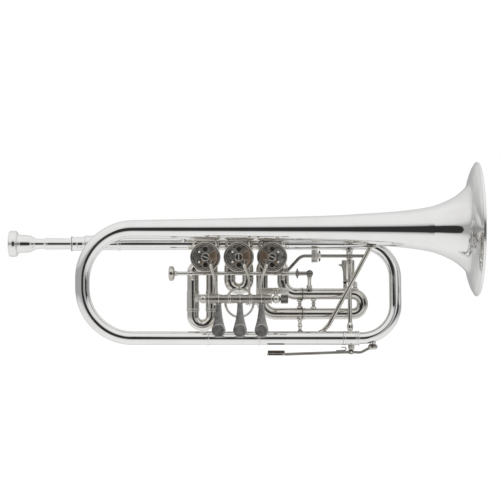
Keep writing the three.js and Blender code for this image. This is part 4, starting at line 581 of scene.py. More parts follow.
# The lines of the main tube, the bell and the bottom tube
LINE_Z, BELL_Y, BELL_Z, BOTTOM_Z = 13.2, -17.0, 27.8, -81.1
# Valves: their pitch, and for each its two legs, where these end, and their radius
PITCH = 33.4
VALVE_LEGS = {1: ((-12.8, 6.3), -53.6, 5.9), 2: ((-9.1, 9.1), -20.85, 5.7), 3: ((-10, 11.2), -17.1, 5.9)}
# The third valve's front is the mirror image of the others'
HANDS = {1: 1, 2: 1, 3: -1}
# A leg starts at this share of a slant out of the valve's middle, and bends down where the slant ends
LEG_START, LEG_BEND_R = 0.4, 7
# Depths of the dish, the stop arm and the bar on its hub
DISH_Y, STOP_ARM_Y, HUB_BAR_Y = -16.25, -18.25, -20.38
# The dish with its holes and bumpers, then the stop arm's fan, finger, hub bar and pin
DISH_R, SPINDLE_HOLE_R, BIG_HOLE_R, BIG_HOLE_Z = 12.7, 3.0, 2.45, 7.9
SMALL_HOLE_R, SMALL_HOLES_R, SMALL_HOLES_DEG = 0.75, 10.3, (115, 180, 245)
BUMPERS_R, BUMPERS_DEG = 8, (-140, 140)
FAN_R, FAN_FROM_DEG, FAN_SWEEP_DEG = 12.1, -60, 98
FAN_INNER_R, FAN_INNER_DEG, FINGER_DEG = 3.2, (36, 8, -24, -58), -122
HUB_BAR_DEG = {1: -22, 2: 90, 3: -22}
PIN_R, PIN_DEG = 7, -45
# Bell: its end, the steps and wall of its curve, and the bead of its rolled rim; then its bow
BELL_END_X, BELL_STEP, BELL_WALL = 239.3, 1.2, 0.6
BEAD_X, BEAD_MIDDLE_R, BEAD_R = 237.8, 65.72, 1.45
BOW_LEFT_X, BOW_END_X, BOW_R, BOW_START, BOW_WALL = -156.4, -31.85, 50.5, 0.3, 0.7
# Main tuning slide: where its legs start, its bow, the ferrule below and the brace
TUNING_START_X, TUNING_BOW_X, TUNING_BOW_R = 68, 157.2, 34.4
FERRULE_X, FERRULE_END_X, TUNING_BRACE_X = 120.6, 104.45, 111.5
# Levers and links: each drum, its link's lower eye, and how far over the link's rod bends on its way up
LEVERS = {1: (-19.6, -21, 0.42), 2: (1.5, 10.9, 0.12), 3: (22.6, 19.8, 0.36)}
# The axle and its ball posts, the lower eyes, and the paddles
AXLE_Y, AXLE_Z, AXLE_BORE = -42.4, -41.3, 1.8
AXLE_BALL_R, AXLE_BALL_FROM_DEG, AXLE_BALL_SWEEP_DEG = 4.3, 155, 130
LINK_Y, LINK_Z = -21.7, -46.3
EYE_HALF, ARM_GAP, ARM_HALF = 0.8, 0.3, 1.3
PADDLE_R, PADDLE_Z, PADDLE_EDGE_DEG, PADDLE_LEAN_DEG = 6.9, -30.9, 24, 9
BLADE_ROOT, BLADE_WAIST = (2.65, -4.15), (2.9, -17)
# First and second slides: the tops of their legs, their ends and the pull ring
FIRST_TOP_Z, FIRST_END_Z = -37, -68.9
SECOND_TOP_Z, SECOND_END_Z, SECOND_BOW_R = -13.4, -32.4, 9.09
RING_X, RING_Y, RING_Z, RING_R, RING_WIRE = 0.7, -7.3, -46.3, 14.05, 1.25
# Third slide: its two tubes, brace, push rod and water key
UPPER_Z, LOWER_Z = -37.3, -57.3
THIRD_START_X, THIRD_BOW_X, THIRD_BOW_R, THIRD_DEPTH = 65.1, 124.8, 9.99, 38.2
THIRD_SLEEVE_X, THIRD_TUBE_END_X, THIRD_BRACE_X, SLIDE_BRACE_X = 64.8, 103, 61.5, 75.4
ROD_Y, ROD_Z = -13, -16.5
THIRD_KEY_X, THIRD_KEY_Z, THIRD_NIPPLE_X = 107.2, -25.3, 117.3
# Screw heads: half their slot as a share of the radius, and their soft edge
SLOT_SHARE, SCREW_EDGE = 0.17, 0.12
# Main water key, braces and wing nut
NIPPLE_X, NIPPLE_Y, KEY_X, KEY_Z = 134, -16.7, 112.5, -95
DIAGONAL_R, CROSS_R = 2.1, 1.6
NUT_X, NUT_Y, NUT_Z = 81, -7, 1


def main_line(x):
    return Vector((x, 0, LINE_Z))


def bottom_line(x):
    return Vector((x, BELL_Y, BOTTOM_Z))


def axle_line(x):
    return Vector((x, AXLE_Y, AXLE_Z))


def rod_line(x):
    return Vector((x, ROD_Y, ROD_Z))


def pin_at(valve_x, hand):
    """Where the pin of a stop arm is at rest, in X and Z."""
    return on_circle(PIN_R, PIN_DEG, valve_x, hand=hand)


# Bell, bow and bottom tube
def build_bell():
    outer = [
        (-105.6, 9.1), (-44.7, 10.2), (39.3, 12.2), (95.3, 13.8), (123.3, 15.4), (151.3, 17.2),
        (165.3, 18.5), (179.3, 20.3), (193.3, 22.9), (201.3, 25.6), (207.3, 28.1), (216.3, 32.9),
        (222.3, 37.5), (226.3, 41.4), (228.6, 45), (231.3, 55), (234.3, 62.8), (236.0, 65.4),
    ]
    curve = smooth_curve(outer, BELL_STEP)
    inside = offset_inward(curve, BELL_WALL)
    bead = [on_circle(BEAD_R, a, BEAD_X, BEAD_MIDDLE_R) for a in range(160, -101, -13)]
    end = BELL_END_X
    path = Path([
        (end, BELL_Y, BELL_Z), (BOW_LEFT_X, BELL_Y, BELL_Z),
        (BOW_LEFT_X, BELL_Y, BOTTOM_Z), (BOW_END_X, BELL_Y, BOTTOM_Z)], [BOW_R, BOW_R])
    stem, half_turn = end - outer[0][0], BOW_R * math.pi / 2
    drop = BELL_Z - BOTTOM_Z - 2 * BOW_R
    top = stem + BOW_START
    bow = [
        (stem, outer[0][1]), (top + half_turn, 7.25), (top + 2 * half_turn + drop, 6.95),
        (path.length, 6.95)]
    # the loop runs outside from the rim to the bow's end, and inside back to the rolled rim
    whole = [(end - x, r) for x, r in reversed(curve)][:-1] + bow
    whole += [(s, r - BOW_WALL) for s, r in reversed(bow)]
    whole += [(end - x, r) for x, r in inside[1:]] + [(end - x, r) for x, r in reversed(bead)]
    Piece().sweep(path, whole, 96).done("bell_and_bow", SILVER, "bell", "bell_bow", sharp=50)


def build_bottom_tubes():
    loop = soft([(-31.85, 7.5), (-30.0, 7.5), (-29.8, 6.95), (19.3, 6.95), (19.5, 7.5), (21.1, 7.5),
        (21.1, 5.9), (-31.85, 5.9)], 0.35)
    Piece().turn(bottom_line(0), X, loop, 72).done("bottom_bow_tube", SILVER, "bottom_tube")
    sleeve = soft(ring(21.3, 104.3, 6.35, 6.95), 0.2)
    Piece().turn(bottom_line(0), X, sleeve, 72).done("tuning_sleeve_lower", SILVER, "lower_tuning_sleeve")
    upper = soft([(50.25, 6.2), (104.7, 6.2), (104.7, 5.8), (60, 5.8), (60, 5), (50.25, 5)], 0.15)
    Piece().turn(main_line(0), X, upper, 64).done("tuning_sleeve_upper", SILVER, "upper_tuning_sleeve")


# Leadpipe, receiver and mouthpiece
def build_leadpipe():
    pipe = soft([(-144.6, 6.2), (-122, 6.2), (-121.9, 6.9), (-120.9, 7.0), (-119.4, 7.0), (-119.3, 6.2),
        (-50.25, 6.2), (-50.25, 5), (-144.6, 5)], 0.3)
    Piece().turn(main_line(0), X, pipe, 64).done("leadpipe_tube", SILVER, "leadpipe")
    receiver = soft([(-169.4, 7.1), (-168.9, 7.5), (-167.7, 7.5), (-167.2, 6.9), (-163.5, 6.9),
        (-163.2, 7.15), (-162.4, 7.15), (-162.1, 6.9), (-157.2, 6.9), (-155.6, 7.6), (-154.9, 7.75),
        (-154.2, 8.6), (-153.2, 8.6), (-152.9, 8.3), (-147.1, 8.3), (-146.8, 8.6), (-145.8, 8.6),
        (-144.6, 7.4), (-144.6, 5.15), (-169.4, 5.65)], 0.3)
    made = Piece().turn(main_line(0), X, receiver, 72)
    # dark rings in the grooves
    made.turn(main_line(0), X, ring(-168.55, -167.95, 6.6, 7.58), 72, 1)
    made.turn(main_line(0), X, soft(ring(-154.75, -154.35, 6.6, 8.2), 0.1), 72, 1)
    made.done("receiver", [SILVER, DARK], "mouthpiece_receiver")


def build_mouthpiece():
    outside = soft([(-231.75, 9.5), (-231.75, 11.9), (-231.2, 12.7), (-230.2, 13.1), (-227.6, 13.2),
        (-225.2, 13.12), (-224.0, 12.5), (-223.2, 11.2), (-222.6, 9.5), (-221.4, 9.3), (-220.6, 9.45),
        (-219.9, 9.0), (-216, 8.95), (-212.5, 8.7), (-209.6, 8.1), (-207.6, 7.0), (-206.2, 5.9),
        (-203.5, 5.3), (-199.5, 5.1), (-196.4, 5.05), (-195.2, 5.15), (-194.6, 6.1), (-193.3, 6.1),
        (-192.7, 5.75), (-180, 5.65), (-169.4, 5.5), (-146, 4.8), (-146, 4.3), (-163, 3.75), (-180, 3.1),
        (-205, 1.9), (-213, 1.85), (-214.8, 2.3), (-217.5, 4.3), (-220.5, 6.0), (-224.5, 7.35), (-228, 8.0),
        (-230.6, 8.4)], 0.9, 5)
    Piece().turn(main_line(0), X, outside, 96).done(
        "mouthpiece_turned", SILVER, "mouthpiece", body="mouthpiece", sharp=40)


# Main tuning slide
def build_tuning_slide():
    near, far = TUNING_START_X, TUNING_BOW_X
    path = Path([main_line(near), main_line(far), bottom_line(far), bottom_line(near)], [TUNING_BOW_R] * 2)
    start, end = path.length - (FERRULE_X - near), path.length - (FERRULE_END_X - near)
    loop = [(0, 5.0), (0, 5.5), (36.7, 5.5), (36.7, 6.05), (start, 6.05), (start, 7.35), (start + 0.3, 7.6),
        (start + 1.1, 7.6), (start + 1.4, 7.0), (start + 2.4, 7.0), (start + 2.6, 7.45),
        (start + 3.6, 7.45), (start + 3.8, 6.95), (end - 2.2, 6.95), (end - 2.0, 7.3), (end - 0.2, 7.3),
        (end, 7.0), (end, 6.05), (path.length, 6.05), (path.length, 5.0)]
    made = Piece().sweep(path, soft(loop, 0.2), 64)
    # thin collar where the upper leg leaves its sleeve, and the nipple under the bow
    made.turn(main_line(0), X, soft(ring(104.8, 107.0, 5.9, 6.6), 0.3), 64)
    made.turn((NIPPLE_X, NIPPLE_Y, 0), -Z, solid([(79.6, 5.2), (82.2, 4.2), (84.0, 3.3), (86.9, 3.1),
        (87.2, 2.9)], 0.3, 1.6), 40)
    made.done("tuning_slide_bow", SILVER, "tuning_bow", body="tuning_slide")
    stem = Path([main_line(TUNING_BRACE_X), bottom_line(TUNING_BRACE_X)])
    size = stem.length
    brace = solid([(4, 4.4), (6.8, 4.0), (8.2, 3.15), (size * 0.16, 3.15), (size * 0.17, 2.7),
        (size * 0.185, 3.1), (size * 0.2, 2.7), (size * 0.22, 2.2), (size * 0.53, 2.0), (size * 0.84, 2.2),
        (size * 0.855, 2.9), (size * 0.865, 3.2), (size * 0.895, 3.2), (size * 0.905, 2.9),
        (size * 0.92, 2.45), (size - 6.6, 2.6), (size - 5.6, 4.2), (size - 4, 4.4)], 0.35)
    Piece().sweep(stem, brace, 40).done(
        "tuning_slide_long_brace", WORK_SILVER, "tuning_slide_brace", body="tuning_slide")


# Rotary valves
def leg_path(x, end_z):
    return Path([(x * LEG_START, 0, -abs(x) * LEG_START), (x, 0, -abs(x)), (x, 0, end_z)], [LEG_BEND_R])


def slotted_screw(made, centre, radius, height, facing):
    """A screw head with its slot cut across, as two half discs that stand apart."""
    centre = Vector(centre)
    facing = Vector(facing).normalized()
    turned = Z.rotation_difference(facing).to_matrix().to_4x4()
    place = Matrix.Translation(centre + facing * height / 2) @ turned
    angle = math.degrees(math.asin(SLOT_SHARE))
    for half in (0, 180):
        arc = circle(radius, 0, 0, 20, half + angle, half + 180 - angle)
        made.flat([arc], height, place, SCREW_EDGE)


def build_valve(number, valve_x, hand):
    centre = Vector((valve_x, 0, 0))
    casing = Piece()
    casing.turn(centre, Y, solid([(-15.15, 14), (-14.0, 14), (-13.6, 13.75), (13.4, 13.75), (13.8, 14),
        (15, 14)]), 96)
    half = PITCH / 2
    # the main tube through the top of the casing, and the cone that it leaves by on each side
    casing.turn((valve_x, 0, LINE_Z), X, solid([(-half, 6.2), (half, 6.2)], 0.05), 64)
    for side in (-1, 1):
        casing.turn((valve_x, 0, LINE_Z), X * side, solid([(9.5, 7.6), (11.2, 7.2), (12.4, 6.5),
            (13.4, 6.25)]), 64)
    legs, end_z, radius = VALVE_LEGS[number]
    for x in legs:
        since = len(casing.verts)
        leg = leg_path(x, end_z)
        casing.sweep(leg, soft(bar(leg.length, radius), 0.2), 48)
        if number == 1:
            casing.turn((x, 0, 0), -Z, solid([(34.4, 6.3), (52.2, 6.3), (52.4, 6.55), (53.4, 6.55),
                (53.6, 6.3)], 0.25, 5.6), 48)
        if number == 3:
            casing.turn((x, 0, 0), -Z, solid([(14.2, 6.15), (17.1, 6.15)], 0.25, 5.5), 48)
        casing.moved(Matrix.Translation(centre), since)
    if number == 1:
        rod_guide(casing, -47.75, valve_x + legs[0])
    casing.done(f"valve_{number}_body", WORK_SILVER, f"valve_{number}_casing")

    cap = Piece()
    cap.turn(centre, Y, solid([(15.0, 14.3), (15.9, 14.3), (18.3, 14.3), (18.9, 13.6), (19, 11.4),
        (18.5, 11.0), (18.5, 6.4), (18.9, 6.0), (18.9, 2.2), (18.4, 1.8)], 0.35), 96)
    milled = grow(
        RIDGES, WORK_SILVER, (valve_x, 16.9, 0), Y, Count=96, Radius=0.01432, Length=0.0022, Width=0.00027)
    cap.done(f"valve_{number}_milled_cap", WORK_SILVER, f"valve_{number}_back_cap", extra=[milled])

    plate = Piece()
    rim = soft([
        (-19.6, 13.2), (-19.45, 14.6), (-18.9, 15.15), (-17.6, 15.2), (-17.2, 14.9), (-16.6, 14.9),
        (-16.2, 15.2), (-15.3, 15.2), (-15.1, 12.4), (-17.2, 12.6), (-19.3, 12.8)], 0.3)
    plate.turn(centre, Y, rim, 96)
    holes = [circle(BIG_HOLE_R, 0, z, 32) for z in (BIG_HOLE_Z, -BIG_HOLE_Z)]
    holes.append(circle(SPINDLE_HOLE_R, 0, 0, 32))
    small = [circle(SMALL_HOLE_R, *on_circle(SMALL_HOLES_R, a, hand=hand), 16) for a in SMALL_HOLES_DEG]
    plate.flat([circle(DISH_R, steps=80)] + holes + small, 1.5, facing_front(DISH_Y, valve_x), 0.12, 1)
    # a near-black disc just behind the dish: painted shade, seen through its holes
    plate.turn(centre, Y, bar(0.3, DISH_R, -15.45), 64, 2)
    # each bumper is a seat, a cork and a bright domed cap
    for side in BUMPERS_DEG:
        x, z = on_circle(BUMPERS_R, side, valve_x, hand=hand)
        spot = Vector((x, 0, z))
        plate.turn(spot, Y, solid([(-17.3, 1.95), (-16.9, 1.95)], 0.1), 28, 1)
        plate.turn(spot, Y, solid([(-18.5, 1.25), (-17.2, 1.25)], 0.1), 28, 3)
        plate.turn(spot, Y, soft([(-19.1, 0), (-19.05, 0.45), (-18.85, 0.9), (-18.6, 1.2), (-18.4, 1.28),
            (-18.4, 0)], 0.2, 3), 28, 4)
    plate.done(f"valve_{number}_dish", [RIM, DISH, PAINTED_HOLE_SHADE, CORK, SILVER], f"valve_{number}_front_plate")


def build_stop_arm(number, valve_x, hand):
    place = facing_front(STOP_ARM_Y, valve_x)
    fan = [on_circle(FAN_R, FAN_FROM_DEG + FAN_SWEEP_DEG * k / 24, hand=hand) for k in range(25)]
    fan += [on_circle(FAN_INNER_R, a, hand=hand) for a in FAN_INNER_DEG]
    if hand < 0:
        fan.reverse()
    arm = Piece()
    arm.flat([fan], 1.7, place, 0.3, 1)
    tip = Vector(on_circle(1, FINGER_DEG, hand=hand))
    across = Vector((-tip.y, tip.x)) * 0.8
    finger = [tip * 3.5 - across, tip * 8.9 - across * 0.9, tip * 9.3, tip * 8.9 + across * 0.9,
        tip * 3.5 + across]
    arm.flat([[(p.x, p.y) for p in finger]], 1.6, place, 0.2, 1)
    hub = solid([(-20.3, 3.7), (-19.4, 4.4), (-17.4, 4.6)], 0.25, 2.95)
    # the gap round the hub is a near-black ring of painted shade
    gap = solid([(-20.15, 3.0), (-19.0, 3.0), (-19.0, 2.55), (-20.0, 2.55)], 0.04)
    arm.turn((valve_x, 0, 0), Y, hub, 48)
    arm.turn((valve_x, 0, 0), Y, gap, 40, 2)
    along = Vector(on_circle(1, HUB_BAR_DEG[number]))
    across = Vector((-along.y, along.x)) * 0.6
    along *= 2.85
    hub_bar = [along + across, across - along, -along - across, along - across]
    arm.flat([[(p.x, p.y) for p in hub_bar]], 0.5, facing_front(HUB_BAR_Y, valve_x), 0.12, 3)
    x, z = pin_at(valve_x, hand)
    spot = Vector((x, 0, z))
    arm.turn(spot, Y, solid([(-23.2, 0.95), (-22.6, 1.05), (-22.6, 0.8), (-19.6, 0.8), (-19.4, 1.6),
        (-18.9, 1.7)], 0.12), 24)
    arm.done(f"stop_arm_{number}_fan", [WORK_SILVER, FAN, PAINTED_HOLE_SHADE, BRUSHED], f"stop_arm_{number}",
        body=f"rotor_{number}")


def paint_solid(name, material):
    """Gives a solid that is shown as it is the material of this scene."""
    for slot in bpy.data.objects[name].material_slots:
        slot.material = material


def rod_guide(made, x, tube_x):
    made.turn(rod_line(x), X, solid([(-1.25, 3.0), (-0.9, 3.3), (0.9, 3.3), (1.25, 3.0)], 0.2, 2.15), 36)
    made.bent([(x, -10.2, -17.3), ((tube_x + x) / 2, -8.2, -19.2), (tube_x, -4.9, -21.4)], [3], 1.3, 20)
    made.ball((tube_x, -5.0, -21.6), 2.3, 24)


# Valve slides
def loop_path(left, right, top, end, radius):
    return Path([(left, 0, top), (left, 0, end), (right, 0, end), (right, 0, top)], [radius, radius])


def slide_loop(path, step, leg, tube, bore):
    return solid(mirrored([(0, leg), (step, leg), (step, tube)], path.length), 0.15, bore)


def build_first_slide():
    left, right = (x - PITCH for x in VALVE_LEGS[1][0])
    half = (right - left) / 2
    path = loop_path(left, right, FIRST_TOP_Z, FIRST_END_Z, half)
    made = Piece().sweep(path, slide_loop(path, 16.75, 5.1, 5.9, 4.4), 56)
    for x in (left, right):
        made.turn((x, 0, 0), -Z, solid([(53.8, 6.35), (55.0, 6.35), (55.2, 5.95)], 0.2, 5.5), 48)
    made.done("first_slide_bow", WORK_SILVER, "first_slide", body="first_slide")


def build_second_slide():
    left, right = VALVE_LEGS[2][0]
    path = loop_path(left, right, SECOND_TOP_Z, SECOND_END_Z, SECOND_BOW_R)
    made = Piece().sweep(path, slide_loop(path, 7.6, 4.6, 5.7, 3.9), 48)
    for x in (left, right):
        made.turn((x, 0, 0), -Z, solid([(21.1, 6.15), (22.1, 6.15), (22.3, 5.7)], 0.2, 5.4), 48)
    made.done("second_slide_bow", WORK_SILVER, "second_slide", body="second_slide")
    # the ring's wire, as circles across it that are joined up
    wire, count, sides = Piece(), 96, 20
    verts, faces = [], []
    for k in range(count):
        a = math.tau * k / count
        for j in range(sides):
            b = math.tau * j / sides
            r = RING_R + RING_WIRE * math.cos(b)
            verts.append((RING_X + r * math.cos(a), RING_Y + RING_WIRE * math.sin(b),
                RING_Z + r * math.sin(a)))
            n, m = (k + 1) % count, (j + 1) % sides
            faces.append([k * sides + j, n * sides + j, n * sides + m, k * sides + m])
    wire.shell(verts, faces)
    wire.turn((RING_X, 0, RING_Z + RING_R), -Y, solid([(4.7, 2.3), (5.3, 2.3), (5.7, 1.5), (6.9, 1.5),
        (7.6, 1.9), (8.4, 1.5)], 0.25), 32)
    wire.done("pull_ring", WORK_SILVER, "second_slide_ring", body="second_slide")


def build_third_slide():
    legs = VALVE_LEGS[3][0]
    for name, x, z, bend in (
        ("upper", PITCH + legs[1], UPPER_Z, 13), ("lower", PITCH + legs[0], LOWER_Z, 14),
    ):
        path = Path([(x, 0, -17), (x, 0, z), (THIRD_TUBE_END_X, 0, z)], [bend])
        step = path.length - (THIRD_TUBE_END_X - THIRD_SLEEVE_X)
        loop = solid([(0, 5.9), (0.1, 6.2), (1.6, 6.2), (1.8, 5.9), (step - 3.2, 5.9), (step - 3.0, 6.2),
            (step, 6.2), (step, 4.8), (path.length, 4.8)], 0.15, 4.2)
        made = Piece().sweep(path, loop, 48)
        made.turn((0, 0, z), X, soft(ring(63.5, 64.5, 5.0, 6.35), 0.2), 48, 1)
        if z == UPPER_Z:
            rod_guide(made, x, x)
        made.done(f"third_{name}_knuckle", [SLIDE, DARK], f"third_slide_{name}_knuckle")
    near, far = THIRD_START_X, THIRD_BOW_X
    path = Path(
        [(near, 0, UPPER_Z), (far, 0, UPPER_Z), (far, 0, LOWER_Z), (near, 0, LOWER_Z)], [THIRD_BOW_R] * 2)
    outside = mirrored([(0, 5.12), (0, 6.0), (0.2, 6.1), (1.5, 6.1), (1.7, 5.6)], path.length)
    inside = mirrored([(THIRD_DEPTH, 5.12), (THIRD_DEPTH, 4.5)], path.length)[::-1]
    made = Piece().sweep(path, soft(outside + inside, 0.12), 56)
    brace = Path([(SLIDE_BRACE_X, 0, UPPER_Z), (SLIDE_BRACE_X, 0, LOWER_Z)])
    post = mirrored([(4.9, 3.4), (6.6, 2.9), (7.4, 1.7), (9.2, 1.6), (9.6, 2.2)], UPPER_Z - LOWER_Z)
    made.sweep(brace, solid(post), 32)
    made.turn((THIRD_NIPPLE_X, 0, 0), Z, solid([(-33.0, 3.7), (-31.9, 3.3), (-31.2, 2.5), (-30.0, 2.4),
        (-29.8, 2.2)], 0.25, 1.2), 28)
    made.block((105.4, -1.6, -33), (109, 0.7, -24.6), 0.4, 1)
    made.turn((THIRD_KEY_X, 0, THIRD_KEY_Z), Y, solid([(-1.6, 1.9), (0.7, 1.9), (0.7, 0.8), (3.4, 0.8)],
        0.2), 28, 1)
    slotted_screw(made, (THIRD_KEY_X, 3.2, THIRD_KEY_Z), 1.2, 0.4, Y)
    made.done("third_slide_bow", [SLIDE, BRUSHED], "third_slide", body="third_slide")

    key = Piece()
    outline = [
        (105.5, -26), (105.2, -15.2), (103.9, -10), (100.8, -8.6), (100.8, -7), (103.9, -7.4),
        (104.2, -3.1), (109.2, -3.3), (109, -14.8), (108.9, -22.8), (112.8, -21.8), (114.4, -14.7),
        (114.3, -3), (116.8, -3.1), (116.9, -14.7), (115.9, -23.4), (119.4, -25.4), (119.4, -29.5),
        (115.2, -29.5), (114.6, -26.4), (109.8, -25.6), (108.2, -27),
    ]
    key.flat([soft(outline, 1.1, 5)], 1.9, facing_front(2.0), 0.35)
    key.turn((THIRD_KEY_X, 0, THIRD_KEY_Z), Y, solid([(1.02, 2.1), (3.0, 2.1)], 0.2, 1.1), 32)
    key.turn((THIRD_NIPPLE_X, 0.6, 0), Z, solid([(-29.5, 2.6), (-27.6, 2.6), (-27.1, 2.0)]), 32)
    key.done("third_water_key", BRUSHED, "third_slide_key", body="third_key")

    between = Path([(THIRD_BRACE_X, 0, UPPER_Z), (THIRD_BRACE_X, 0, LOWER_Z)])
    post = mirrored([(6.2, 3.3), (7.4, 2.7), (8.2, 1.7), (9.4, 1.6), (9.7, 2.2)], UPPER_Z - LOWER_Z)
    Piece().sweep(between, solid(post), 32).done("third_tube_brace", SLIDE, "third_slide_tube_brace")
    stay = Path([(THIRD_BRACE_X, 0, LOWER_Z), (THIRD_BRACE_X, BELL_Y, BOTTOM_Z)])
    size = stay.length
    post = solid([
        (6.1, 3.1), (7.5, 2.6), (8.4, 1.8), (size * 0.42, 1.6), (size * 0.46, 2.2), (size * 0.5, 2.3),
        (size * 0.54, 2.2), (size * 0.58, 1.6), (size - 9.6, 1.8), (size - 8.6, 2.6), (size - 7.1, 3.1)])
    Piece().sweep(stay, post, 32).done("third_stay", WORK_SILVER, "third_slide_stay")


def build_push_rod():
    made = Piece()
    made.turn(rod_line(0), X, soft([(-70.4, 0), (-70.2, 4.0), (-69.9, 6.3), (-69.2, 7.3), (-68.2, 7.5),
        (-66.6, 7.5), (-65.6, 7.2), (-64.8, 6.2), (-64.4, 4.2), (-63.9, 2.6), (-62.2, 2.3), (-61.6, 1.85),
        (71, 1.85), (71, 0)], 0.3), 56)
    made.turn(rod_line(0), X, solid([(56.9, 1.95), (57.2, 2.6), (57.8, 2.8), (57.9, 4.3), (58.2, 4.75),
        (59.1, 4.75), (59.4, 4.3), (59.6, 2.8), (60.4, 2.4), (60.9, 1.95), (69, 1.95)], 0.25, 1.5), 48, 1)
    made.ball(rod_line(71), 3.5, 40, 2)
    post = Path([rod_line(71), (71, 0, UPPER_Z)])
    made.sweep(post, solid([(2.6, 2.6), (4.6, 2.3), (6, 1.9), (post.length * 0.5, 1.8),
        (post.length - 10.5, 2.0), (post.length - 9.6, 2.9), (post.length - 8.9, 2.9),
        (post.length - 8, 2.4), (post.length - 6.6, 3.2), (post.length - 5.6, 3.9)]), 36)
    collar = grow(RIDGES, DARK, rod_line(58.65), X, Count=40, Radius=0.00476, Length=0.0008, Width=0.00018)
    made.done("third_slide_push_rod", [SLIDE, DRUM, DARK], "push_rod", body="third_slide", extra=[collar])


# Axle, brackets, levers and links
def build_axle():
    made = Piece()
    made.turn(axle_line(0), X, solid([(-38.6, 1.9), (-38.0, 1.9), (-37.9, 1.5), (41.5, 1.5), (41.5, 3.9),
        (42.1, 4.2), (48.2, 4.2), (48.8, 3.8), (49, 2.6), (48.6, 2.3)], 0.2), 56)
    knurl = [
        grow(RIDGES, DARK, axle_line(45.15), X,
            Count=44, Radius=0.00416, Length=0.0064, Width=0.00026, Lean=lean)
        for lean in (0.16, -0.16)]
    made.done("axle_thumb_screw", DARK, "lever_axle", slot="dark_steel", extra=knurl)
    for name, ball_x, plate_x, plate_z, front in (
        ("left", -34.7, (-44, -29), (-45, -37.6), 6.3), ("right", 37.25, (19, 50.5), (-37.6, -31), 5.9),
    ):
        back = -front - 0.1
        made = Piece()
        ball = [on_circle(AXLE_BALL_R, AXLE_BALL_FROM_DEG - AXLE_BALL_SWEEP_DEG * k / 24) for k in range(25)]
        loop = [(-3.9, AXLE_BORE), *ball, (3.9, AXLE_BORE)]
        made.turn(axle_line(ball_x), X, loop, 48)
        plate_middle = (plate_z[0] + plate_z[1]) / 2
        arm = Path([axle_line(ball_x), (ball_x, back - 0.6, plate_middle)])
        made.sweep(arm, solid([(3.4, 2.7), (4.4, 2.5), (5.2, 2.0), (arm.length * 0.5, 1.6),
            (arm.length - 4.6, 1.8), (arm.length - 3.6, 2.5), (arm.length - 2.6, 2.1),
            (arm.length - 1.6, 3.3), (arm.length, 3.6)]), 36)
        made.block((plate_x[0], back - 1.4, plate_z[0]), (plate_x[1], back, plate_z[1]), 0.45, 1)
        for x in (plate_x[0] + 2.2, plate_x[1] - 2.2):
            screw = solid([(0, 1.5), (0.5, 1.35), (0.8, 0.9)], 0.2)
            made.turn((x, back - 1.3, plate_middle), -Y, screw, 24, 1)
        beads = [grow(
            RING_ROW, WORK_SILVER, axle_line(ball_x - 3.4), X,
            Count=2, Pitch=0.0068, Radius=0.00245, Wire=0.00035)]
        made.done(f"axle_{name}_ball_post", [RIM, BRUSHED], f"axle_{name}_bracket", extra=beads)


def build_lever(number, drum_x, eye_x):
    made = Piece()
    drum = mirrored([
        (-10.4, 1.8), (-10.4, 4.0), (-10.1, 4.6), (-9.2, 4.6), (-8.9, 4.25), (-7.6, 4.2),
        (-7.3, 4.42), (-6.6, 4.42), (-6.3, 4.15), (-3.2, 4.15), (-2.9, 4.55)])
    made.turn((0, 0, 0), X, soft(drum, 0.12, 2), 64, 2)
    edge = on_circle(PADDLE_R, PADDLE_EDGE_DEG, 0, PADDLE_Z)
    blade = []
    for k in range(15):
        t = k / 14
        blade.append([
            a * (1 - t) ** 2 + 2 * b * t * (1 - t) + c * t * t
            for a, b, c in zip(BLADE_ROOT, BLADE_WAIST, edge)])
    around = 180 + 2 * PADDLE_EDGE_DEG
    arc = [on_circle(PADDLE_R, PADDLE_EDGE_DEG - around * k / 36, 0, PADDLE_Z) for k in range(1, 36)]
    left = [(-x, y) for x, y in reversed(blade)]
    since = len(made.verts)
    made.flat([blade + arc + left], 1.4, facing_front(0), 0.3, 1)
    made.turn((0, 0, PADDLE_Z), -Y, solid([(0.4, 6.2), (0.74, 6.1), (0.86, 5.2)], 0.15), 56, 1)
    made.moved(Matrix.Rotation(-math.radians(PADDLE_LEAN_DEG), 4, "X"), since)
    arm_x = eye_x - drum_x - EYE_HALF - ARM_GAP - ARM_HALF
    tip = Vector((arm_x, LINK_Y - AXLE_Y, LINK_Z - AXLE_Z))
    root = Vector((arm_x, 4.1, -1))
    long = (tip - root).length
    made.sweep(Path([root, tip]), solid([(-1.2, 2.1), (0.8, 1.9), (2.2, 1.35), (long * 0.6, 1.2),
        (long - 1.5, 1.3), (long, 1.3)]), 28)
    made.turn(tip, X, solid([(-1.3, 1.7), (1.25, 1.7)]), 32)
    made.bent([tip, (eye_x - drum_x + 1.4, tip.y, tip.z)], [], 0.8)
    slotted_screw(made, (tip.x - 1.25, tip.y, tip.z), 1.35, 0.4, -X)
    made.moved(Matrix.Translation(axle_line(drum_x)))
    rings = grow(
        RING_ROW, RIM, axle_line(drum_x - 9.65), X, Count=3, Pitch=0.00965, Radius=0.0043, Wire=0.0006)
    made.done(f"lever_{number}_key", [WORK_SILVER, SATIN, DRUM], f"lever_{number}", body=f"lever_{number}",
        slot="satin_silver", extra=[rings])
    paint_solid(f"lever_spring_{number}", STEEL)


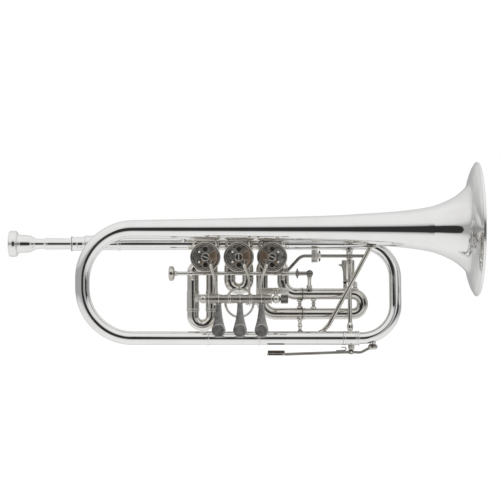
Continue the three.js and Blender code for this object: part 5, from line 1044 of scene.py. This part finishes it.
def build_link(number, hand, eye_x, share):
    pin_x, pin_z = pin_at((number - 2) * PITCH, hand)
    top_x, top_z = pin_x - eye_x, pin_z - LINK_Z
    made = Piece()
    made.turn((0, 0, 0), X, soft(ring(-EYE_HALF, EYE_HALF, 1.2, 2.3), 0.2), 36)

    def stadium(left, right, half):
        loop = [on_circle(half, -90 + 180 * k / 16, top_x + right - half, top_z) for k in range(17)]
        return loop + [on_circle(half, 90 + 180 * k / 16, top_x + left + half, top_z) for k in range(17)]

    left, right = (-1.25, 3.3) if hand > 0 else (-3.3, 1.25)
    made.flat([stadium(left - 1.3, right + 1.3, 2.55), stadium(left, right, 1.25)], 1.6, facing_front(0),
        0.25, 1)
    start = Vector((0, 0, 1.7))
    end = Vector((top_x, 0, top_z - 2.0))
    run = Path([start, Vector((top_x * share, 0, 25)), end], [8])
    made.sweep(run, solid([(0, 1.5), (1.2, 1.7), (1.6, 1.2), (run.length - 4.2, 1.2),
        (run.length - 3.9, 1.75), (run.length - 1.6, 1.75), (run.length - 1.2, 1.3), (run.length, 1.1)],
        0.15), 28)
    made.moved(Matrix.Translation((eye_x, LINK_Y, LINK_Z)))
    made.done(f"link_{number}_rod", [BRUSHED, RIM], f"link_{number}", body=f"link_{number}")


# Braces, lyre block, wing nut and bell stay
def build_braces():
    foot, knee = Vector((81.2, BELL_Y, -77)), Vector((90.2, BELL_Y, -68))
    top = Vector((131.8, BELL_Y, 10))
    made = Piece()
    made.bent([top + Vector((-0.1, 0, 0)), knee, foot + (foot - knee) * 0.12], [12], DIAGONAL_R, 40)
    start = foot + (knee - foot).normalized() * 1.2
    made.sweep(Path([start, start + (knee - foot).normalized() * 4]), solid([(0, 3.4), (1.4, 3.0),
        (2.6, 2.5), (3.6, 2.1)], 0.35), 36)
    made.block((127.6, BELL_Y - 4, 9.3), (137.4, BELL_Y + 4, 11.1), 0.5)
    made.done("diagonal_brace_rod", RIM, "diagonal_brace")

    made = Piece()
    end_y = BELL_Y + DIAGONAL_R + 0.3 + CROSS_R
    corners = [(46, -4.2, -15), (49.5, -4.6, -13.3), (62.6, -6.8, 1), (87, -7, 1), (127.0, end_y, 1)]
    made.bent(corners, [5, 10, 20], CROSS_R, 36)
    root = solid([(0, 2.9), (1.2, 2.6), (2.4, 1.6)])
    made.turn((47.2, -4.35, -14.4), Vector((0.9, -0.1, 0.44)), root, 28)
    made.block((73.2, -11, -2.2), (79.1, -3.5, 7.7), 0.5, 1)
    # the four walls of the lyre's socket
    for left, front, right, rear in (
        (73.2, -11, 74.5, -3.5), (77.8, -11, 79.1, -3.5), (73.9, -11, 78.4, -9.7), (73.9, -4.8, 78.4, -3.5),
    ):
        made.block((left, front, -5.5), (right, rear, -1.8), 0.25, 1)
    made.done("cross_brace_and_lyre_block", [DRUM, BRUSHED], "cross_brace")

    nut = Piece()
    hub = solid([(-1.6, 3.2), (-0.8, 3.4), (0.8, 2.8), (1.6, 2.6)], 0.25, 1.9)
    nut.turn((NUT_X, NUT_Y, NUT_Z), X, hub, 36)
    for side in (1, -1):
        wing = soft([(-0.8, 2.4), (-1.0, 4.4), (-0.5, 5.6), (0.5, 5.6), (1.0, 4.4), (0.8, 2.4)], 0.5, 4)
        wing = [(x + 0.2, y * side) for x, y in wing]
        if side < 0:
            wing.reverse()
        nut.flat([wing], 1.5, facing_front(NUT_Y, NUT_X, NUT_Z), 0.3)
    nut.done("lyre_wing_nut", WORK_SILVER, "wing_nut", body="wing_nut")

    stay = Path([main_line(-55.5), (-55.5, BELL_Y, BELL_Z)])
    size = stay.length
    post = solid([
        (5.6, 3.2), (6.8, 2.6), (7.6, 2.2), (size * 0.36, 2.2), (size * 0.42, 1.6), (size * 0.48, 2.2),
        (size * 0.52, 2.8), (size * 0.58, 3.3)], 0.25)
    Piece().sweep(stay, post, 36).done("bell_stay_post", WORK_SILVER, "bell_stay")


# Main water key
def build_water_key():
    made = Piece()
    low, high = -92.5, -85.6
    made.block((109.3, -20.4, low), (115.7, -13.6, high), 0.45, 1)
    for side in (-1, 1):
        y = BELL_Y + side * 3.0
        made.turn((KEY_X, y - 0.7, KEY_Z), Y, solid([(0, 2.2), (1.4, 2.2)], 0.2, 0.9), 32)
        made.block((110.4, y - 0.7, KEY_Z), (114.6, y + 0.7, low + 0.6), 0.25)
    made.turn((KEY_X, BELL_Y, KEY_Z), Y, solid([(-4.6, 0.9), (4.6, 0.9)], 0.2), 28)
    made.ball((KEY_X, BELL_Y - 4.3, KEY_Z), 1.25, 20)
    made.done("water_key_saddle", [WORK_SILVER, BRUSHED], "water_key_bracket", body="tuning_slide")

    key = Piece()
    key.turn((KEY_X, BELL_Y, KEY_Z), Y, solid([(-2, 2.2), (2, 2.2)], 0.2, 1.2), 36)
    run = Path([(46.0, BELL_Y, -97.3), (110.6, BELL_Y, -95.05)])
    rod = solid([(0, 1.5), (run.length * 0.5, 1.45), (run.length - 3, 1.5), (run.length, 1.9)])
    key.sweep(run, rod, 32, 1)
    arm = Path([(114.3, BELL_Y, -95.1), (122, BELL_Y, -95.5), (130.2, BELL_Y, -91.3),
        (NIPPLE_X, BELL_Y, -91.3)], [6, 6])
    key.sweep(arm, soft(bar(arm.length, 1.4), 0.3), 28, 1)
    key.turn((NIPPLE_X, NIPPLE_Y, 0), Z, solid([(-92.4, 3.6), (-91.6, 4.5), (-90.6, 4.9), (-88.4, 4.9),
        (-88.4, 4.3), (-89.9, 4.3)], 0.25), 48)
    plate = [(28.3, -3.2), (28.3, 3.2), (29.3, 4.2), (44.6, 4.2), (46.8, 2.4), (46.8, -2.4), (44.6, -4.2),
        (29.3, -4.2)]
    key.flat([soft(plate, 1.0, 4)[::-1]], 2.1, Matrix.Translation((0, BELL_Y, -97.3)), 0.4)
    grip = [
        grow(RIDGES, DARK, (KEY_X, y, KEY_Z), Y, Count=28, Radius=0.00222, Length=0.0012, Width=0.00014)
        for y in (BELL_Y - 1.2, BELL_Y + 1.2)]
    key.done("water_key_long_lever", [RIM, DRUM], "water_key_lever", body="water_key", extra=grip)

    pad = solid([(-89.6, 4), (-87.5, 4)], 0.4)
    Piece().turn((NIPPLE_X, NIPPLE_Y, 0), Z, pad, 40).done(
        "water_key_cork_pad", CORK, "water_key_pad", body="water_key", slot="cork")
    Piece().block((29.1, -20.4, -95.95), (46.0, -13.6, -93.6), 0.5).done(
        "water_key_thumb_cork", CORK, "water_key_cork", body="water_key", slot="cork")
    spring = Piece()
    spring.bent([(97.5, BELL_Y, -93.5), (107.2, BELL_Y, -93.1), (107.2, BELL_Y, -90.3),
        (102.4, BELL_Y, -90.3)], [1.3, 1.3], 0.6, 20)
    spring.done("water_key_leaf_spring", STEEL, "water_key_spring", body="water_key", slot="spring_steel")


build_bell()
build_bottom_tubes()
build_leadpipe()
build_mouthpiece()
build_tuning_slide()
for number, hand in HANDS.items():
    valve_x = (number - 2) * PITCH
    build_valve(number, valve_x, hand)
    build_stop_arm(number, valve_x, hand)
    paint_solid(f"rotor_{number}", BRASS)
    paint_solid(f"valve_{number}_rear_bearing", BRASS)
build_first_slide()
build_second_slide()
build_third_slide()
build_push_rod()
build_axle()
for number, (drum_x, eye_x, share) in LEVERS.items():
    build_lever(number, drum_x, eye_x)
    build_link(number, HANDS[number], eye_x, share)
build_braces()
build_water_key()


# Studio: pale floor, soft light from all sides, and the dark room that the camera stands in.
# Levels are greys, and 1 is white. The horizon's go by the sine of the angle above or below it
HORIZON_LEVELS = (
    (0.0, 0.44), (0.12, 0.46), (0.19, 0.68), (0.28, 0.86), (0.42, 0.93), (0.62, 0.97), (0.85, 1.0))
BEHIND_LEVELS = ((0.0, 1.0), (0.2, 1.0), (0.36, 0.97), (0.53, 0.91), (0.71, 0.86), (0.9, 0.8), (1.0, 0.54))
BAND_CLEARS_FROM, BAND_CLEARS_TO = 0.5, 1.25
PLAIN_LEVEL = 0.72
# A dark card's height as a multiple of its dark part, and its grey
CARD_REACH, CARD_TONE = 2.4, 0.036
# How a card clears: shares of its dark part's half height, and how clear it is there
WIDE_EDGE = ((0.0, 0.0), (0.85, 0.0), (1.0, 0.12), (1.12, 0.42), (1.35, 0.66), (1.7, 0.84), (2.3, 1.0))
SHORT_EDGE = ((0.0, 0.0), (0.88, 0.0), (1.0, 0.4), (1.08, 0.72), (1.3, 0.9), (1.7, 1.0))
FLOOR_COLOUR, FLOOR_ROUGHNESS, FLOOR_GLOW = (0.86, 0.86, 0.855, 1), 0.9, 0.24
FLOOR_HALF, FLOOR_Z = 8.0, -0.42
LAMP_STRENGTH, LAMP_SIZE_DEG, LAMP_LEAN_DEG = 0.95, 60, (28, -14)


def ray_share(tree, *kinds):
    """One where the ray is any of these kinds, and zero elsewhere."""
    path = add_node(tree, "ShaderNodeLightPath")
    total = (path, kinds[0])
    for kind in kinds[1:]:
        total = calculate(tree, "MAXIMUM", total, (path, kind))
    return total


def grey_ramp(tree, share, levels):
    node = add_node(tree, "ShaderNodeValToRGB", {"Fac": share})
    ramp = node.color_ramp
    for i, (spot, level) in enumerate(levels):
        stop = ramp.elements[i] if i < 2 else ramp.elements.new(1)
        stop.position, stop.color = spot, (level, level, level, 1)
    return node


def build_world():
    world = bpy.data.worlds.new("studio")
    scene.world = world
    world.use_nodes = True
    tree = world.node_tree
    # what the metal sees: white above and below, a grey band round the horizon, and behind the object,
    # where the band clears, a grey of its own
    place = add_node(tree, "ShaderNodeTexCoord")
    parts = add_node(tree, "ShaderNodeSeparateXYZ", {"Vector": (place, "Generated")})
    height = calculate(tree, "ABSOLUTE", (parts, "Z"))
    band = grey_ramp(tree, height, HORIZON_LEVELS)
    clearing = add_node(tree, "ShaderNodeMapRange", {
        "Value": (parts, "Y"), "From Min": BAND_CLEARS_FROM, "From Max": BAND_CLEARS_TO})
    level = blend(tree, clearing, band, WHITE)
    behind = grey_ramp(tree, (parts, "Y"), BEHIND_LEVELS)
    shade = blend(tree, 1.0, level, behind, blend_type="MULTIPLY")
    # the background in the picture is white, and what only scatters light gets a plain level
    plain = blend(tree, ray_share(tree, "Is Glossy Ray"), (*[PLAIN_LEVEL] * 3, 1), shade)
    seen = ray_share(tree, "Is Camera Ray", "Is Transmission Ray")
    white = blend(tree, seen, plain, WHITE)
    set_inputs(tree.nodes["Background"], {"Color": white, "Strength": 1.0})


def flat_mesh(name, corners, material):
    mesh = bpy.data.meshes.new(name)
    mesh.from_pydata(corners, [], [list(range(len(corners)))])
    mesh.materials.append(material)
    thing = bpy.data.objects.new(name, mesh)
    scene.collection.objects.link(thing)
    return thing


def clear_where(tree, share, shader):
    """The material's surface: this shader, giving way to nothing at all where the share is one."""
    gap = add_node(tree, "ShaderNodeBsdfTransparent")
    mix = add_node(tree, "ShaderNodeMixShader", {0: share, 1: shader, 2: gap})
    set_inputs(tree.nodes["Material Output"], {"Surface": mix})


def card_material(name, half, spread, round_end, softness):
    """Dark within a half height that grows along the card, clearing beyond it, and clear from behind."""
    material, tree = new_material(name)
    tree.nodes.remove(tree.nodes["Principled BSDF"])
    place = add_node(tree, "ShaderNodeTexCoord")
    parts = add_node(tree, "ShaderNodeSeparateXYZ", {"Vector": (place, "Object")})
    height = calculate(tree, "ABSOLUTE", (parts, "Y"))
    reach = calculate(tree, "MULTIPLY_ADD", (parts, "X"), spread, half)
    nearness = add_node(tree, "ShaderNodeMapRange", {"Value": (parts, "X"), "From Max": round_end})
    limit = calculate(tree, "MULTIPLY", reach, calculate(tree, "POWER", nearness, 0.5))
    share = calculate(tree, "DIVIDE", height, limit)
    part = calculate(tree, "DIVIDE", share, CARD_REACH)
    fade = grey_ramp(tree, part, [(spot / CARD_REACH, level) for spot, level in softness])
    facing = add_node(tree, "ShaderNodeNewGeometry")
    clear = calculate(tree, "MAXIMUM", fade, (facing, "Backfacing"))
    glow = add_node(tree, "ShaderNodeEmission", {"Color": (*[CARD_TONE] * 3, 1)})
    clear_where(tree, clear, glow)
    return material


def dark_card(name, start, end, first_half, last_half, softness, round_end=0.001, lift=0.0):
    """A dark card on edge between two points of the floor plan, that only the metal's reflections show."""
    start, end = Vector((*start, lift)), Vector((*end, lift))
    length = (end - start).length
    material = card_material(name, first_half, (last_half - first_half) / length, round_end, softness)
    low, high = first_half * CARD_REACH, last_half * CARD_REACH
    thing = flat_mesh(name, [(0, low, 0), (length, high, 0), (length, -high, 0), (0, -low, 0)], material)
    thing.location = start
    thing.rotation_euler = (math.radians(90), 0, math.atan2(end.y - start.y, end.x - start.x))
    for kind in ("camera", "shadow", "diffuse", "transmission"):
        setattr(thing, "visible_" + kind, False)


def build_floor():
    material, tree = new_material("pale_floor")
    shader = tree.nodes["Principled BSDF"]
    seen = ray_share(tree, "Is Camera Ray", "Is Glossy Ray", "Is Transmission Ray")
    set_inputs(shader, {
        "Base Color": FLOOR_COLOUR, "Roughness": FLOOR_ROUGHNESS, "Emission Color": WHITE,
        "Emission Strength": calculate(tree, "MULTIPLY", seen, FLOOR_GLOW)})
    # clear from below, so that the object can be looked at from there
    facing = add_node(tree, "ShaderNodeNewGeometry")
    clear_where(tree, (facing, "Backfacing"), shader)
    half = FLOOR_HALF
    corners = [(-half, -half, FLOOR_Z), (half, -half, FLOOR_Z), (half, half, FLOOR_Z), (-half, half, FLOOR_Z)]
    floor = flat_mesh("floor", corners, material)
    # the metal sees the studio's own white and grey below it
    floor.visible_glossy = False


def build_lamp():
    data = bpy.data.lights.new("soft_top_light", "SUN")
    data.energy = LAMP_STRENGTH
    data.angle = math.radians(LAMP_SIZE_DEG)
    lamp = bpy.data.objects.new("soft_top_light", data)
    scene.collection.objects.link(lamp)
    lamp.rotation_euler = (*map(math.radians, LAMP_LEAN_DEG), 0)
    lamp.visible_glossy = False


place_camera()
build_world()
build_floor()
build_lamp()
# The dark room by the camera, and its sides as the bell and the tuning bow see them
dark_card("dark_room_front", (-0.46, -1.5), (0.4, -1.5), 0.46, 0.46, WIDE_EDGE)
dark_card("dark_room_left", (-0.14, -0.17), (-0.14, -1.15), 0.044, 0.36, SHORT_EDGE, 0.02, 0.018)
dark_card("dark_room_right", (0.5, -0.6), (0.5, -0.15), 0.15, 0.05, SHORT_EDGE)
scene.view_settings.view_transform = "Standard"
